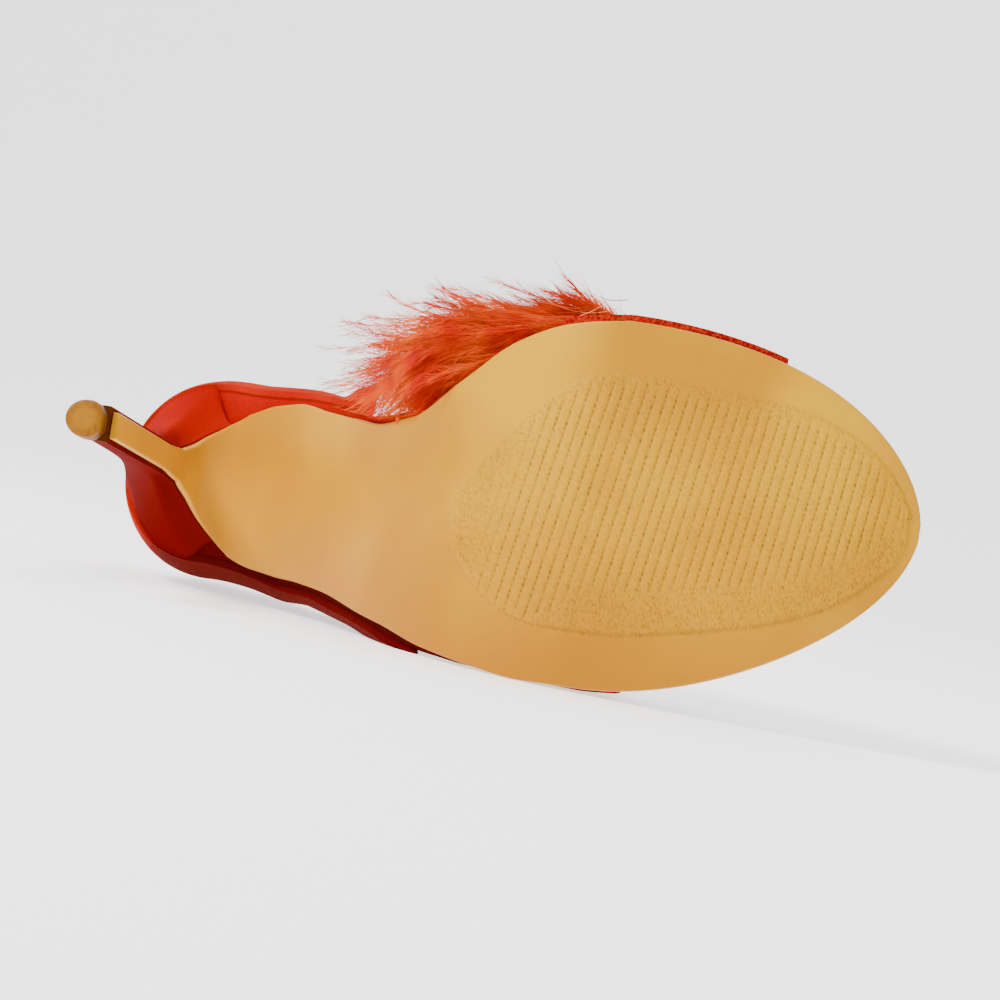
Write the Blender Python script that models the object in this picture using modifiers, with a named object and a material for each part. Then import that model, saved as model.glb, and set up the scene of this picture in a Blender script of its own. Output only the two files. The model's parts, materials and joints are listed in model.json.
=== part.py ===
"""Stiletto sandal, left shoe, with a feather plume on its vamp strap, lying on its outer side.

Each piece is worked out in the shoe's own frame: x runs from the back of the heel seat to the toe,
y to the outer (lateral) side, and z up from the floor that the shoe would stand on. All the pieces
hang on one empty, which turns the finished shoe onto its outer side.
"""

import math

import bmesh
import bpy
import numpy as np
from mathutils import Matrix, Vector

# Last: plan and side profile.
LENGTH = 0.205
BALL_WIDTH = 0.0836
SEAT_WIDTH = 0.0480
SEAT_HEIGHT = 0.0917
SEAT_BACK = 0.0022
SEAT_ROUND = 0.025
TOE_SPRING = 0.0055
TOE_SPRING_START = 0.172
BALL_PLACE = 0.135
TOE_DRIFT = -0.0012

# Sole and insole.
OUTSOLE_THICKNESS = 0.0025
OUTSOLE_EDGE = 0.0007
OUTSOLE_TOE_INSET = 0.0002
INSOLE_THICKNESS = 0.0042
INSOLE_EDGE = 0.0011
INSOLE_INSET = 0.0004
INSOLE_SET_BACK = 0.0001
INSOLE_TOE_INSET = 0.0008
CLEARANCE = 0.0003

# Heel and its tread piece.
HEEL_TIP_BACK = 0.0098
HEEL_TIP_FRONT = 0.0184
HEEL_TIP_WIDTH = 0.0084
HEEL_TIP_BARE = 0.002
STEM_FRONT = 0.0188
STEM_FLARE = 6.0
STEM_BACK_SWEEP = 3.0
BREAST_RADIUS = 0.0105
BREAST_STRIP_WIDTH = 0.0062
BREAST_THICKNESS = 0.0016
HEEL_RIM_INSET = 0.0008
HEEL_FRONT_SHARE = 0.28
HEEL_LIP = 0.985
HEEL_FRONT_MARGIN = 0.0006
TOP_PIECE_HEIGHT = 0.0050
TOP_PIECE_DEPTH = 0.0100
TOP_PIECE_WIDTH = 0.0088
TOP_PIECE_EDGE = 0.0005

# Quarter, the closed heel counter with its two wings.
QUARTER_WALL = 0.0016
QUARTER_HEIGHT = 0.054
QUARTER_BULGE = 0.0028
QUARTER_TOP_LEAN = 0.0050
WING_OUTER_END = 0.084
WING_INNER_END = 0.071
WING_OUTER_FLARE = -0.0030
WING_INNER_FLARE = 0.0130
WING_RAKE = 0.24
WING_CORNER = 0.009
WING_SHARE = 0.45
WING_FLATNESS = 0.8

# Vamp strap over the ball of the foot.
STRAP_WALL = 0.0016
STRAP_OUTER_FRONT = 0.144
STRAP_OUTER_BACK = 0.118
STRAP_INNER_FRONT = 0.171
STRAP_INNER_BACK = 0.119
INSTEP_HEIGHT = 0.042
INSTEP_FALL = 0.30
STRAP_SQUARENESS = 2.25
STRAP_RAKE = 0.16
STRAP_INNER_BULGE = 0.0026

# Feather plume.
FEATHER_GAP = 0.0004
FEATHER_DEPTH = 0.004
LOCK_LENGTH = 0.021
LOCK_SHORTEST = 0.6
LOCK_SWEEP = 0.85
PLUME_FRONT = 0.152
PLUME_INNER_BACK = 0.084
PLUME_OUTER_BACK = 0.112
PLUME_RISE = 0.45
PLUME_LOW = 0.16
PLUME_HIGH = 0.66
WING_TO_PLUME = 0.003
LOCK_SEED = 7

# Height of the footbed: share of LENGTH from the back, share of SEAT_HEIGHT.
ARCH = (
    (0.00, 1.000),
    (0.06, 0.965),
    (0.12, 0.920),
    (0.18, 0.855),
    (0.24, 0.755),
    (0.30, 0.612),
    (0.36, 0.450),
    (0.42, 0.292),
    (0.48, 0.160),
    (0.54, 0.066),
    (0.60, 0.014),
    (0.64, 0.000),
    (1.00, 0.000),
)

# Plan of the insole: share of LENGTH, inner and outer side as shares of the local last width.
INSOLE_PLAN = (
    (0.00, 0.455, 0.430),
    (0.12, 0.455, 0.430),
    (0.18, 0.430, 0.455),
    (0.24, 0.376, 0.470),
    (0.30, 0.290, 0.440),
    (0.36, 0.214, 0.440),
    (0.42, 0.204, 0.450),
    (0.48, 0.292, 0.480),
    (0.54, 0.396, 0.500),
    (0.57, 0.428, 0.500),
    (0.60, 0.452, 0.508),
    (0.66, 0.474, 0.517),
)

# Plan of the outsole: share of LENGTH, inner and outer side as shares of the local last width.
OUTSOLE_PLAN = (
    (0.12, 0.270, 0.385),
    (0.16, 0.320, 0.426),
    (0.20, 0.365, 0.458),
    (0.24, 0.350, 0.451),
    (0.28, 0.285, 0.429),
    (0.33, 0.218, 0.416),
    (0.38, 0.174, 0.428),
    (0.42, 0.182, 0.438),
    (0.48, 0.278, 0.476),
    (0.54, 0.388, 0.511),
    (0.60, 0.446, 0.532),
    (0.66, 0.470, 0.532),
)

# Flap of the outsole down the heel: share of the breast's bend, share of the sole's width kept.
BREAST_TAPER = (
    (0.00, 1.00),
    (0.25, 0.79),
    (0.50, 0.52),
    (0.75, 0.22),
    (1.00, 0.06),
)

# Wall of the quarter: share of its height, bulge, inward lean and outward flare of the wings.
QUARTER_WALL_FORM = (
    (0.00, 0.00, 0.00, 0.00),
    (0.12, 0.60, 0.00, 0.02),
    (0.28, 1.00, 0.00, 0.10),
    (0.46, 0.85, 0.12, 0.28),
    (0.64, 0.50, 0.36, 0.55),
    (0.82, 0.20, 0.68, 0.84),
    (1.00, 0.00, 1.00, 1.00),
)

# Top line of the quarter: share of the way from the back to a wing's end, share of QUARTER_HEIGHT.
QUARTER_TOP_LINE = (
    (0.00, 1.00),
    (0.20, 0.97),
    (0.45, 0.86),
    (0.70, 0.80),
    (1.00, 0.86),
)


def mix(low, high, share):
    return low + (high - low) * share


def smooth(share):
    share = min(max(share, 0.0), 1.0)
    return share * share * (3 - 2 * share)


def read(table, place, column=1):
    """A value between the rows of a table, on a curve that doesn't overshoot them."""
    places = np.array([row[0] for row in table])
    values = np.array([row[column] for row in table])
    place = min(max(place, places[0]), places[-1])
    steps = np.diff(values) / np.diff(places)
    slopes = np.zeros(len(values))
    slopes[0], slopes[-1] = steps[0], steps[-1]
    for row in range(1, len(values) - 1):
        if steps[row - 1] * steps[row] > 0:
            slopes[row] = 2 / (1 / steps[row - 1] + 1 / steps[row])
    row = min(int(np.searchsorted(places, place, side="right")) - 1, len(values) - 2)
    width = places[row + 1] - places[row]
    t = (place - places[row]) / width
    low = (1 + 2 * t) * (1 - t) ** 2 * values[row] + t * (1 - t) ** 2 * width * slopes[row]
    high = t * t * (3 - 2 * t) * values[row + 1] + t * t * (t - 1) * width * slopes[row + 1]
    return float(low + high)


def bed_height(x):
    """Height of the insole's underside above the floor."""
    spring = max(0.0, (x - TOE_SPRING_START) / (LENGTH - TOE_SPRING_START))
    return (
        OUTSOLE_THICKNESS
        + CLEARANCE
        + SEAT_HEIGHT * read(ARCH, x / LENGTH)
        + TOE_SPRING * spring**1.6
    )


def bed_slope(x):
    """Angle by which the footbed rises towards the heel."""
    step = 0.0005
    return math.atan2(bed_height(x - step) - bed_height(x + step), 2 * step)


def last_width(x):
    """Width that the plan's shares are of: the seat's at the back, the ball's at the front."""
    return mix(SEAT_WIDTH, BALL_WIDTH, smooth((x / LENGTH - 0.15) / 0.33))


def toe_shares(x):
    """Middle and half width ahead of the ball, as shares of those at the ball."""
    ahead = min(max((x - BALL_PLACE) / (LENGTH - BALL_PLACE), 0.0), 1.0)
    return ahead, (1 - ahead**1.9) ** 0.55


def sides(plan, x):
    """Inner side (negative) and outer side of a plan at x."""
    width = last_width(x)
    inner = -read(plan, min(x, BALL_PLACE) / LENGTH, 1) * width
    outer = read(plan, min(x, BALL_PLACE) / LENGTH, 2) * width
    if x > BALL_PLACE:
        ahead, share = toe_shares(x)
        middle = mix((inner + outer) / 2, TOE_DRIFT, smooth(ahead))
        half = (outer - inner) / 2 * share
        inner, outer = middle - half, middle + half
    return inner, outer


def insole_sides(x):
    inner, outer = sides(INSOLE_PLAN, x)
    inset = INSOLE_INSET * smooth((x - BALL_PLACE + SEAT_ROUND) / SEAT_ROUND)
    behind = max(0.0, (SEAT_ROUND - x) / (SEAT_ROUND - SEAT_BACK))
    round_back = max(0.0, 1 - behind**2.2) ** 0.5
    return (inner + inset) * round_back, (outer - inset) * round_back


def new_material(name, colour, roughness, metallic=0.0):
    material = bpy.data.materials.new(name)
    material.use_nodes = True
    shader = material.node_tree.nodes["Principled BSDF"]
    shader.inputs["Base Color"].default_value = (*colour, 1.0)
    shader.inputs["Roughness"].default_value = roughness
    shader.inputs["Metallic"].default_value = metallic
    return material


def new_piece(name, mesh_data, material):
    mesh = bpy.data.meshes.new(name)
    bmesh.ops.recalc_face_normals(mesh_data, faces=mesh_data.faces)
    mesh_data.to_mesh(mesh)
    mesh_data.free()
    mesh.materials.append(material)
    piece = bpy.data.objects.new(name, mesh)
    PARTS.objects.link(piece)
    mesh.shade_smooth()
    mesh.set_sharp_from_angle(angle=math.radians(40))
    return piece


def loft(rings):
    """A closed body through rings of as many points each, with a face over each end."""
    data = bmesh.new()
    rows = [[data.verts.new(point) for point in ring] for ring in rings]
    count = len(rows[0])
    for row, following in zip(rows, rows[1:]):
        for index in range(count):
            after = (index + 1) % count
            data.faces.new((row[index], row[after], following[after], following[index]))
    for end in (rows[0], rows[-1]):
        # Each end is a strip of faces across the ring, so that it follows a curved ring.
        for index in range(count // 2 - 1):
            other = count - 1 - index
            data.faces.new((end[index], end[index + 1], end[other - 1], end[other]))
    return data


def sole_path():
    """Foot side of the outsole from the toe to the heel's tip, and where it leaves the footbed.

    Each place is (x, z, normal to the foot side, stretch, share of that stretch).
    """
    path = []
    join = STEM_FRONT + BREAST_RADIUS
    for _ in range(40):
        join = STEM_FRONT + BREAST_RADIUS * (1 + math.sin(bed_slope(join)))
    tip = LENGTH - OUTSOLE_TOE_INSET
    toe_steps = 20
    for step in range(toe_steps):
        x = BALL_PLACE + (tip - BALL_PLACE) * math.cos(math.pi / 2 * step / toe_steps)
        path.append((x, "bed", 0.0))
    bed_steps = 30
    for step in range(bed_steps + 1):
        path.append((mix(BALL_PLACE, join, step / bed_steps), "bed", 0.0))
    line = []
    for x, kind, share in path:
        slope = bed_slope(x)
        normal = (math.sin(slope), math.cos(slope))
        z = bed_height(x) - CLEARANCE
        line.append((x, z, normal, kind, share))
    start_x, start_z, start_normal = line[-1][:3]
    centre = (start_x - BREAST_RADIUS * start_normal[0], start_z - BREAST_RADIUS * start_normal[1])
    start_angle = math.atan2(start_normal[1], start_normal[0])
    bend_steps = 12
    for step in range(1, bend_steps + 1):
        share = step / bend_steps
        angle = mix(start_angle, math.pi, share)
        normal = (math.cos(angle), math.sin(angle))
        x = centre[0] + BREAST_RADIUS * normal[0]
        z = centre[1] + BREAST_RADIUS * normal[1]
        line.append((x, z, normal, "bend", share))
    end_z = TOP_PIECE_HEIGHT + CLEARANCE + HEEL_TIP_BARE
    stem_steps = 8
    for step in range(1, stem_steps + 1):
        share = step / stem_steps
        x = mix(STEM_FRONT, HEEL_TIP_FRONT, share)
        line.append((x, mix(centre[1], end_z, share), (-1.0, 0.0), "stem", share))
    return line, join


def path_sides(place, join):
    """Sides and thickness of the outsole at a place on its path."""
    x, _, _, kind, share = place
    strip = BREAST_STRIP_WIDTH / 2
    if kind == "bed":
        return (*sides(OUTSOLE_PLAN, x), OUTSOLE_THICKNESS)
    kept = read(BREAST_TAPER, share) if kind == "bend" else BREAST_TAPER[-1][1] * (1 - smooth(share * 4))
    inner, outer = sides(OUTSOLE_PLAN, join)
    thickness = BREAST_THICKNESS
    if kind == "bend":
        thickness = mix(OUTSOLE_THICKNESS, BREAST_THICKNESS, share)
    return mix(-strip, inner, kept), mix(strip, outer, kept), thickness


def sole_ring(place, inner, outer, thickness):
    """Section of the outsole: its tread side with round edges, then its flat foot side."""
    x, z, normal = place[:3]
    edge = min(OUTSOLE_EDGE, (outer - inner) / 4, thickness / 3)
    # Columns: distance along the width, depth below the foot side.
    tread = [(inner, 0.45 * thickness), (inner + 0.3 * edge, thickness - 0.3 * edge), (inner + edge, thickness)]
    for share in (0.25, 0.5, 0.75):
        tread.append((mix(inner + edge, outer - edge, share), thickness))
    tread += [(outer - edge, thickness), (outer - 0.3 * edge, thickness - 0.3 * edge), (outer, 0.45 * thickness)]
    foot = [(outer, 0.0)]
    for share in (0.93, 0.8, 0.65, 0.5, 0.35, 0.2, 0.07):
        foot.append((mix(inner, outer, share), 0.0))
    foot.append((inner, 0.0))
    return [(x - normal[0] * depth, y, z - normal[1] * depth) for y, depth in tread + foot]


def make_outsole():
    line, join = sole_path()
    rings = [sole_ring(place, *path_sides(place, join)) for place in line]
    material = new_material("tan_sole", (0.80, 0.47, 0.17), 0.42)
    return new_piece("outsole", loft(rings), material)


def make_insole():
    back = SEAT_BACK + INSOLE_SET_BACK
    front = LENGTH - INSOLE_TOE_INSET
    stations = [SEAT_ROUND + (back - SEAT_ROUND) * math.cos(math.pi / 2 * step / 9) for step in range(9)]
    stations += [mix(SEAT_ROUND, BALL_PLACE, step / 22) for step in range(22)]
    stations += [BALL_PLACE + (front - BALL_PLACE) * math.sin(math.pi / 2 * step / 14) for step in range(15)]
    rings = []
    for x in stations:
        inner, outer = insole_sides(x)
        rise = 1 / math.cos(bed_slope(x))
        edge = min(INSOLE_EDGE, (outer - inner) / 4)
        top = INSOLE_THICKNESS
        # Columns: distance along the width, height above the underside.
        under = [(inner, 0.4 * edge), (inner + 0.4 * edge, 0.0)]
        for share in (0.25, 0.5, 0.75):
            under.append((mix(inner, outer, share), 0.0))
        under += [(outer - 0.4 * edge, 0.0), (outer, 0.4 * edge)]
        over = [(outer, top - edge), (outer - edge, top)]
        for share in (0.75, 0.5, 0.25):
            over.append((mix(inner, outer, share), top))
        over += [(inner + edge, top), (inner, top - edge)]
        rings.append([(x, y, bed_height(x) + height * rise) for y, height in under + over])
    material = new_material("red_covered_board", (0.62, 0.02, 0.01), 0.85)
    return new_piece("insole", loft(rings), material)


def heel_fronts():
    """Front of the heel from the tip to the lip under the seat, as rows of (share of the way up, x,
    inner side, outer side). It follows the inner face of the outsole's flap.
    """
    line, join = sole_path()
    base = TOP_PIECE_HEIGHT + CLEARANCE
    half = HEEL_TIP_WIDTH / 2
    rows = [(0.0, HEEL_TIP_FRONT - CLEARANCE, -half, half)]
    for place in reversed(line):
        x, z, normal, kind = place[:4]
        if kind == "bed":
            break
        inner, outer, _ = path_sides(place, join)
        x += normal[0] * CLEARANCE
        z += normal[1] * CLEARANCE
        up = (z - base) / (bed_height(x) - CLEARANCE - base)
        if up < HEEL_LIP:
            inner = min(inner - HEEL_FRONT_MARGIN, -half)
            outer = max(outer + HEEL_FRONT_MARGIN, half)
            rows.append((up, x, inner, outer))
    rows.append((1.0, *rows[-1][1:]))
    return rows


def make_heel():
    base = TOP_PIECE_HEIGHT + CLEARANCE
    half = HEEL_TIP_WIDTH / 2
    depth_steps = 12
    rings = []
    for up, front, inner_front, outer_front in heel_fronts():
        back = mix(HEEL_TIP_BACK, SEAT_BACK + HEEL_RIM_INSET, up**STEM_BACK_SWEEP)
        flare = up**STEM_FLARE
        inner_side = []
        outer_side = []
        for step in range(depth_steps + 1):
            depth = (1 - math.cos(math.pi * step / depth_steps)) / 2
            x = mix(front, back, depth)
            z = mix(base, bed_height(x) - CLEARANCE, up)
            stem = half * max(0.05, 1 - depth**3) ** 0.5
            seat_inner, seat_outer = insole_sides(x)
            inner = -mix(stem, max(-seat_inner - HEEL_RIM_INSET, 0.001), flare)
            outer = mix(stem, max(seat_outer - HEEL_RIM_INSET, 0.001), flare)
            behind_front = smooth(depth / HEEL_FRONT_SHARE)
            inner_side.append((x, mix(inner_front, inner, behind_front), z))
            outer_side.append((x, mix(outer_front, outer, behind_front), z))
        rings.append(inner_side + outer_side[::-1])
    material = new_material("red_covered_heel", (0.60, 0.015, 0.01), 0.80)
    return new_piece("heel", loft(rings), material)


def make_top_piece():
    """A short block, flat in front and round behind, with its tread edge eased."""
    middle = (HEEL_TIP_FRONT + HEEL_TIP_BACK) / 2
    front = middle + TOP_PIECE_DEPTH / 2
    half = TOP_PIECE_WIDTH / 2
    outline = [(front, -half * 0.8), (front, half * 0.8), (front - half * 0.2, half)]
    arc_steps = 12
    for step in range(arc_steps + 1):
        angle = math.pi / 2 + math.pi * step / arc_steps
        reach = TOP_PIECE_DEPTH - half * 0.9
        outline.append((front - half * 0.9 + reach * math.cos(angle), half * math.sin(angle)))
    outline.append((front - half * 0.2, -half))
    data = bmesh.new()
    bottom = [data.verts.new((x, y, 0.0)) for x, y in outline]
    top = [data.verts.new((x, y, TOP_PIECE_HEIGHT)) for x, y in outline]
    data.faces.new(bottom)
    data.faces.new(top)
    for index in range(len(outline)):
        after = (index + 1) % len(outline)
        data.faces.new((bottom[index], bottom[after], top[after], top[index]))
    material = new_material("amber_top_piece", (0.45, 0.22, 0.04), 0.35)
    piece = new_piece("top_piece", data, material)
    bevel = piece.modifiers.new("eased edge", "BEVEL")
    bevel.width = TOP_PIECE_EDGE
    bevel.segments = 2
    bevel.limit_method = "ANGLE"
    bevel.angle_limit = math.radians(50)
    return piece


def quarter_plan():
    """Points round the insole's edge from the outer wing to the inner one: (x, y, share, side)."""
    points = []
    side_steps = 14
    back_steps = 7
    for side, end in ((1, WING_OUTER_END), (-1, WING_INNER_END)):
        half = []
        for step in range(side_steps):
            share = step / side_steps
            share = share + 0.35 * share * (1 - share)
            half.append(mix(end, SEAT_ROUND, share))
        for step in range(back_steps):
            angle = math.pi / 2 * step / back_steps
            half.append(mix(SEAT_ROUND, SEAT_BACK, math.sin(angle)))
        run = []
        for x in half:
            inner, outer = insole_sides(x)
            run.append((x, outer if side > 0 else inner, (end - x) / end, side))
        points += run + [(SEAT_BACK, 0.0, 1.0, 0)] if side > 0 else run[::-1]
    return points


def make_quarter():
    plan = quarter_plan()
    rows = []
    for index, (x, y, back_share, side) in enumerate(plan):
        before = plan[max(index - 1, 0)]
        after = plan[min(index + 1, len(plan) - 1)]
        along = Vector((after[0] - before[0], after[1] - before[1]))
        outward = Vector((along.y, -along.x)).normalized()
        if outward.dot(Vector((x - WING_OUTER_END, y))) < 0:
            outward = -outward
        end = WING_OUTER_END if side > 0 else WING_INNER_END
        wing_flare = WING_OUTER_FLARE if side > 0 else WING_INNER_FLARE
        wing = smooth(1 - back_share / WING_SHARE)
        height = QUARTER_HEIGHT * read(QUARTER_TOP_LINE, 1 - back_share)
        to_end = max(0.0, WING_CORNER - (end - x)) / WING_CORNER
        height -= WING_CORNER * (1 - math.sqrt(1 - to_end**2)) if side else 0.0
        start = Vector((x, y)) + outward * (CLEARANCE + QUARTER_WALL / 2)
        row = []
        for share, bulge, lean, flare in QUARTER_WALL_FORM:
            out = QUARTER_BULGE * bulge * (1 - WING_FLATNESS * wing)
            out += wing_flare * flare * wing - QUARTER_TOP_LEAN * lean * (1 - wing)
            place = start + outward * out
            rise = height * share
            row.append((place.x - WING_RAKE * rise * wing, place.y, bed_height(max(x, 0.0)) + rise))
        rows.append(row)
    data = bmesh.new()
    grid = [[data.verts.new(point) for point in row] for row in rows]
    for row, following in zip(grid, grid[1:]):
        for index in range(len(row) - 1):
            data.faces.new((row[index], row[index + 1], following[index + 1], following[index]))
    material = new_material("red_suede", (0.70, 0.02, 0.01), 0.88)
    piece = new_piece("quarter", data, material)
    shell = piece.modifiers.new("wall", "SOLIDIFY")
    shell.thickness = QUARTER_WALL
    shell.offset = 0.0
    shell.use_even_offset = True
    return piece


def strap_point(along, across, out=0.0):
    """A point on the strap's middle surface, moved outward by out.

    along runs from the back edge (0) to the front edge (1), and across from the inner foot of the
    strap (0) over the instep to its outer foot (1).
    """
    turn = math.pi * across
    share = smooth(across)
    back = mix(STRAP_INNER_BACK, STRAP_OUTER_BACK, share)
    front = mix(STRAP_INNER_FRONT, STRAP_OUTER_FRONT, share)
    x = mix(back, front, along)
    inner, outer = insole_sides(x)
    seat = CLEARANCE + STRAP_WALL / 2
    half = (outer - inner) / 2 + seat + out
    height = INSTEP_HEIGHT - INSTEP_FALL * (x - STRAP_OUTER_BACK) + out
    power = 2 / STRAP_SQUARENESS
    y = (inner + outer) / 2 - half * math.copysign(abs(math.cos(turn)) ** power, math.cos(turn))
    y -= STRAP_INNER_BULGE * max(0.0, math.sin(2 * turn)) if turn < math.pi / 2 else 0.0
    rise = height * abs(math.sin(turn)) ** power
    lean = STRAP_RAKE * max(0.0, rise - 2 * INSOLE_THICKNESS)
    return Vector((x - lean, y, bed_height(x) + rise))


def make_vamp_strap():
    along_steps = 9
    across_steps = 30
    data = bmesh.new()
    grid = []
    for step in range(across_steps + 1):
        across = step / across_steps
        row = [data.verts.new(strap_point(i / along_steps, across)) for i in range(along_steps + 1)]
        grid.append(row)
    for row, following in zip(grid, grid[1:]):
        for index in range(along_steps):
            data.faces.new((row[index], row[index + 1], following[index + 1], following[index]))
    material = new_material("red_suede", (0.70, 0.02, 0.01), 0.88)
    piece = new_piece("vamp_strap", data, material)
    shell = piece.modifiers.new("wall", "SOLIDIFY")
    shell.thickness = STRAP_WALL
    shell.offset = 0.0
    shell.use_even_offset = True
    return piece


def plume_point(x, across, out):
    """A point above the strap's outer face at x. Behind the strap the plume trails on, over the arch."""
    share = smooth(across)
    back = mix(STRAP_INNER_BACK, STRAP_OUTER_BACK, share)
    front = mix(STRAP_INNER_FRONT, STRAP_OUTER_FRONT, share)
    along = max((x - back) / (front - back), 0.0)
    point = strap_point(along, across, STRAP_WALL / 2 + out)
    trail = max(back - x, 0.0)
    return point + Vector((-trail, 0.0, PLUME_RISE * trail))


def make_feather_trim():
    """A pad that follows the strap's outer face, with locks drawn out of its upper side."""
    along_steps = 20
    across_steps = 24
    under = []
    upper = []
    chance = np.random.default_rng(LOCK_SEED)
    for row in range(across_steps + 1):
        across = mix(PLUME_LOW, PLUME_HIGH, row / across_steps)
        plume_back = mix(PLUME_INNER_BACK, PLUME_OUTER_BACK, smooth(row / across_steps))
        under_row = []
        upper_row = []
        for column in range(along_steps + 1):
            place = mix(plume_back, PLUME_FRONT, column / along_steps)
            foot = plume_point(place, across, FEATHER_GAP)
            outward = (plume_point(place, across, FEATHER_GAP + FEATHER_DEPTH) - foot).normalized()
            edge = min(row, across_steps - row, column, along_steps - column)
            depth = FEATHER_DEPTH * (1 - 0.55 ** (edge + 0.6))
            is_lock = row % 2 and column % 2
            length = LOCK_LENGTH * chance.uniform(LOCK_SHORTEST, 1.0) if is_lock else 0.0
            towards = (outward + Vector((-LOCK_SWEEP, 0.0, 0.0))).normalized()
            if towards.x < 0:
                room = max(foot.x - WING_INNER_END - WING_TO_PLUME, 0.0)
                length = min(length, room / -towards.x)
            under_row.append(foot)
            upper_row.append(foot + outward * depth + towards * length)
        under.append(under_row)
        upper.append(upper_row)
    data = bmesh.new()
    low = [[data.verts.new(point) for point in row] for row in under]
    high = [[data.verts.new(point) for point in row] for row in upper]
    for grid in (low, high):
        for row, following in zip(grid, grid[1:]):
            for index in range(along_steps):
                data.faces.new((row[index], row[index + 1], following[index + 1], following[index]))
    for row in range(across_steps):
        for column in (0, along_steps):
            corners = (low[row][column], low[row + 1][column], high[row + 1][column], high[row][column])
            data.faces.new(corners)
    for column in range(along_steps):
        for row in (0, across_steps):
            corners = (low[row][column], low[row][column + 1], high[row][column + 1], high[row][column])
            data.faces.new(corners)
    material = new_material("orange_red_feather", (0.90, 0.08, 0.01), 0.90)
    return new_piece("feather_trim", data, material)


def volume_and_centre(points, triangles):
    corners = points[triangles]
    parts = np.einsum("ij,ij->i", corners[:, 0], np.cross(corners[:, 1], corners[:, 2])) / 6
    centre = (corners.sum(axis=1) / 4 * parts[:, None]).sum(axis=0) / parts.sum()
    return parts.sum(), centre


def evaluated(piece):
    """Points and triangles of a piece with its modifiers."""
    shape = piece.evaluated_get(bpy.context.evaluated_depsgraph_get())
    mesh = shape.to_mesh()
    mesh.calc_loop_triangles()
    points = np.array([vertex.co[:] for vertex in mesh.vertices])
    triangles = np.array([triangle.vertices[:] for triangle in mesh.loop_triangles])
    shape.to_mesh_clear()
    return points, triangles


def lying_turn(pieces):
    """Rotation that lays the shoe on its outer side, on the three places where it comes to rest."""
    clouds = []
    weight = 0.0
    balance = np.zeros(3)
    for piece in pieces:
        points, triangles = evaluated(piece)
        volume, centre = volume_and_centre(points, triangles)
        weight += volume
        balance += volume * centre
        if piece.name != "feather_trim":
            clouds.append(points)
    balance /= weight
    hull = bmesh.new()
    for point in np.concatenate(clouds):
        hull.verts.new(point)
    found = bmesh.ops.convex_hull(hull, input=hull.verts)
    bmesh.ops.delete(hull, geom=found["geom_interior"], context="VERTS")
    hull.faces.ensure_lookup_table()
    middle = sum((vertex.co for vertex in hull.verts), Vector()) / len(hull.verts)
    best = None
    for face in hull.faces:
        face.normal_update()
        down = face.normal.copy()
        if down.dot(face.calc_center_median() - middle) < 0:
            down = -down
        corners = [loop.vert.co for loop in face.loops]
        inside = holds(corners, down, Vector(balance))
        if inside and down.y > 0.5 and (best is None or down.y > best.y):
            best = down
    hull.free()
    down = best
    ahead = (Vector((1, 0, 0)) - down * down.x).normalized()
    up = -down
    side = up.cross(ahead)
    return Matrix((ahead, side, up)).to_4x4()


def holds(corners, down, balance):
    """Whether the balance point, dropped along down, falls inside the corners."""
    signs = []
    for corner, following in zip(corners, corners[1:] + corners[:1]):
        signs.append((following - corner).cross(balance - corner).dot(down))
    return all(sign >= 0 for sign in signs) or all(sign <= 0 for sign in signs)


for thing in list(bpy.data.objects):
    bpy.data.objects.remove(thing, do_unlink=True)
PARTS = bpy.data.collections.new("stiletto_sandal")
bpy.context.scene.collection.children.link(PARTS)

pieces = [
    make_outsole(),
    make_insole(),
    make_heel(),
    make_top_piece(),
    make_quarter(),
    make_vamp_strap(),
    make_feather_trim(),
]

# The shoe lies on its outer side, with the middle of its footprint at the origin.
turn = lying_turn(pieces)
lowest = np.full(3, np.inf)
highest = np.full(3, -np.inf)
for piece in pieces:
    points = evaluated(piece)[0] @ np.array(turn.to_3x3()).T
    lowest = np.minimum(lowest, points.min(axis=0))
    highest = np.maximum(highest, points.max(axis=0))
middle = (lowest + highest) / 2
shoe = bpy.data.objects.new("shoe", None)
PARTS.objects.link(shoe)
shoe.matrix_world = Matrix.Translation((-middle[0], -middle[1], -lowest[2])) @ turn
for piece in pieces:
    piece.parent = shoe
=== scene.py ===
"""Stiletto sandal, left shoe with a feather plume, lying on its outer side and seen from below.

Every piece is worked out in the shoe's own frame, in metres: x runs from the back of the heel seat to
the toe, y to the outer side, and z up from the floor that the shoe would stand on.
"""

import json
import math

import bpy
import numpy as np
from mathutils import Matrix, Vector


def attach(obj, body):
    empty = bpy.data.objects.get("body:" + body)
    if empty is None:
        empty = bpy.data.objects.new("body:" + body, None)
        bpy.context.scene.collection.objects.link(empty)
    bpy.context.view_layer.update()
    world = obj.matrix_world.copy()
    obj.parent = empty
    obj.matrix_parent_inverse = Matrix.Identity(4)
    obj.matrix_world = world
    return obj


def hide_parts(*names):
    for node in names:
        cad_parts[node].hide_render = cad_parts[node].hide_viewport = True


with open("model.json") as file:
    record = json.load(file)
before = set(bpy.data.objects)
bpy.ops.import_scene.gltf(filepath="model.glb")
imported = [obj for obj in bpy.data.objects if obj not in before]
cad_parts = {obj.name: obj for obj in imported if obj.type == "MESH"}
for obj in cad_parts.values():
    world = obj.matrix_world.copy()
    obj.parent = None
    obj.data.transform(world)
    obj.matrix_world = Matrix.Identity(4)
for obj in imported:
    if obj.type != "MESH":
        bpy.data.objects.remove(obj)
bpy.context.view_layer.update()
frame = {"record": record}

# The shoe's own frame, from the two flat places of the tread that it would stand on.
HEEL_TREAD_PLACE = 0.0136
treads = {mount["name"]: mount for mount in frame["record"]["mounts"]}
heel_tread = Vector(treads["heel_tread"]["pos_m"])
up = -Vector(treads["heel_tread"]["axis"]).normalized()
ahead = Vector(treads["forefoot_tread"]["pos_m"]) - heel_tread
ahead = (ahead - up * ahead.dot(up)).normalized()
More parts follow.
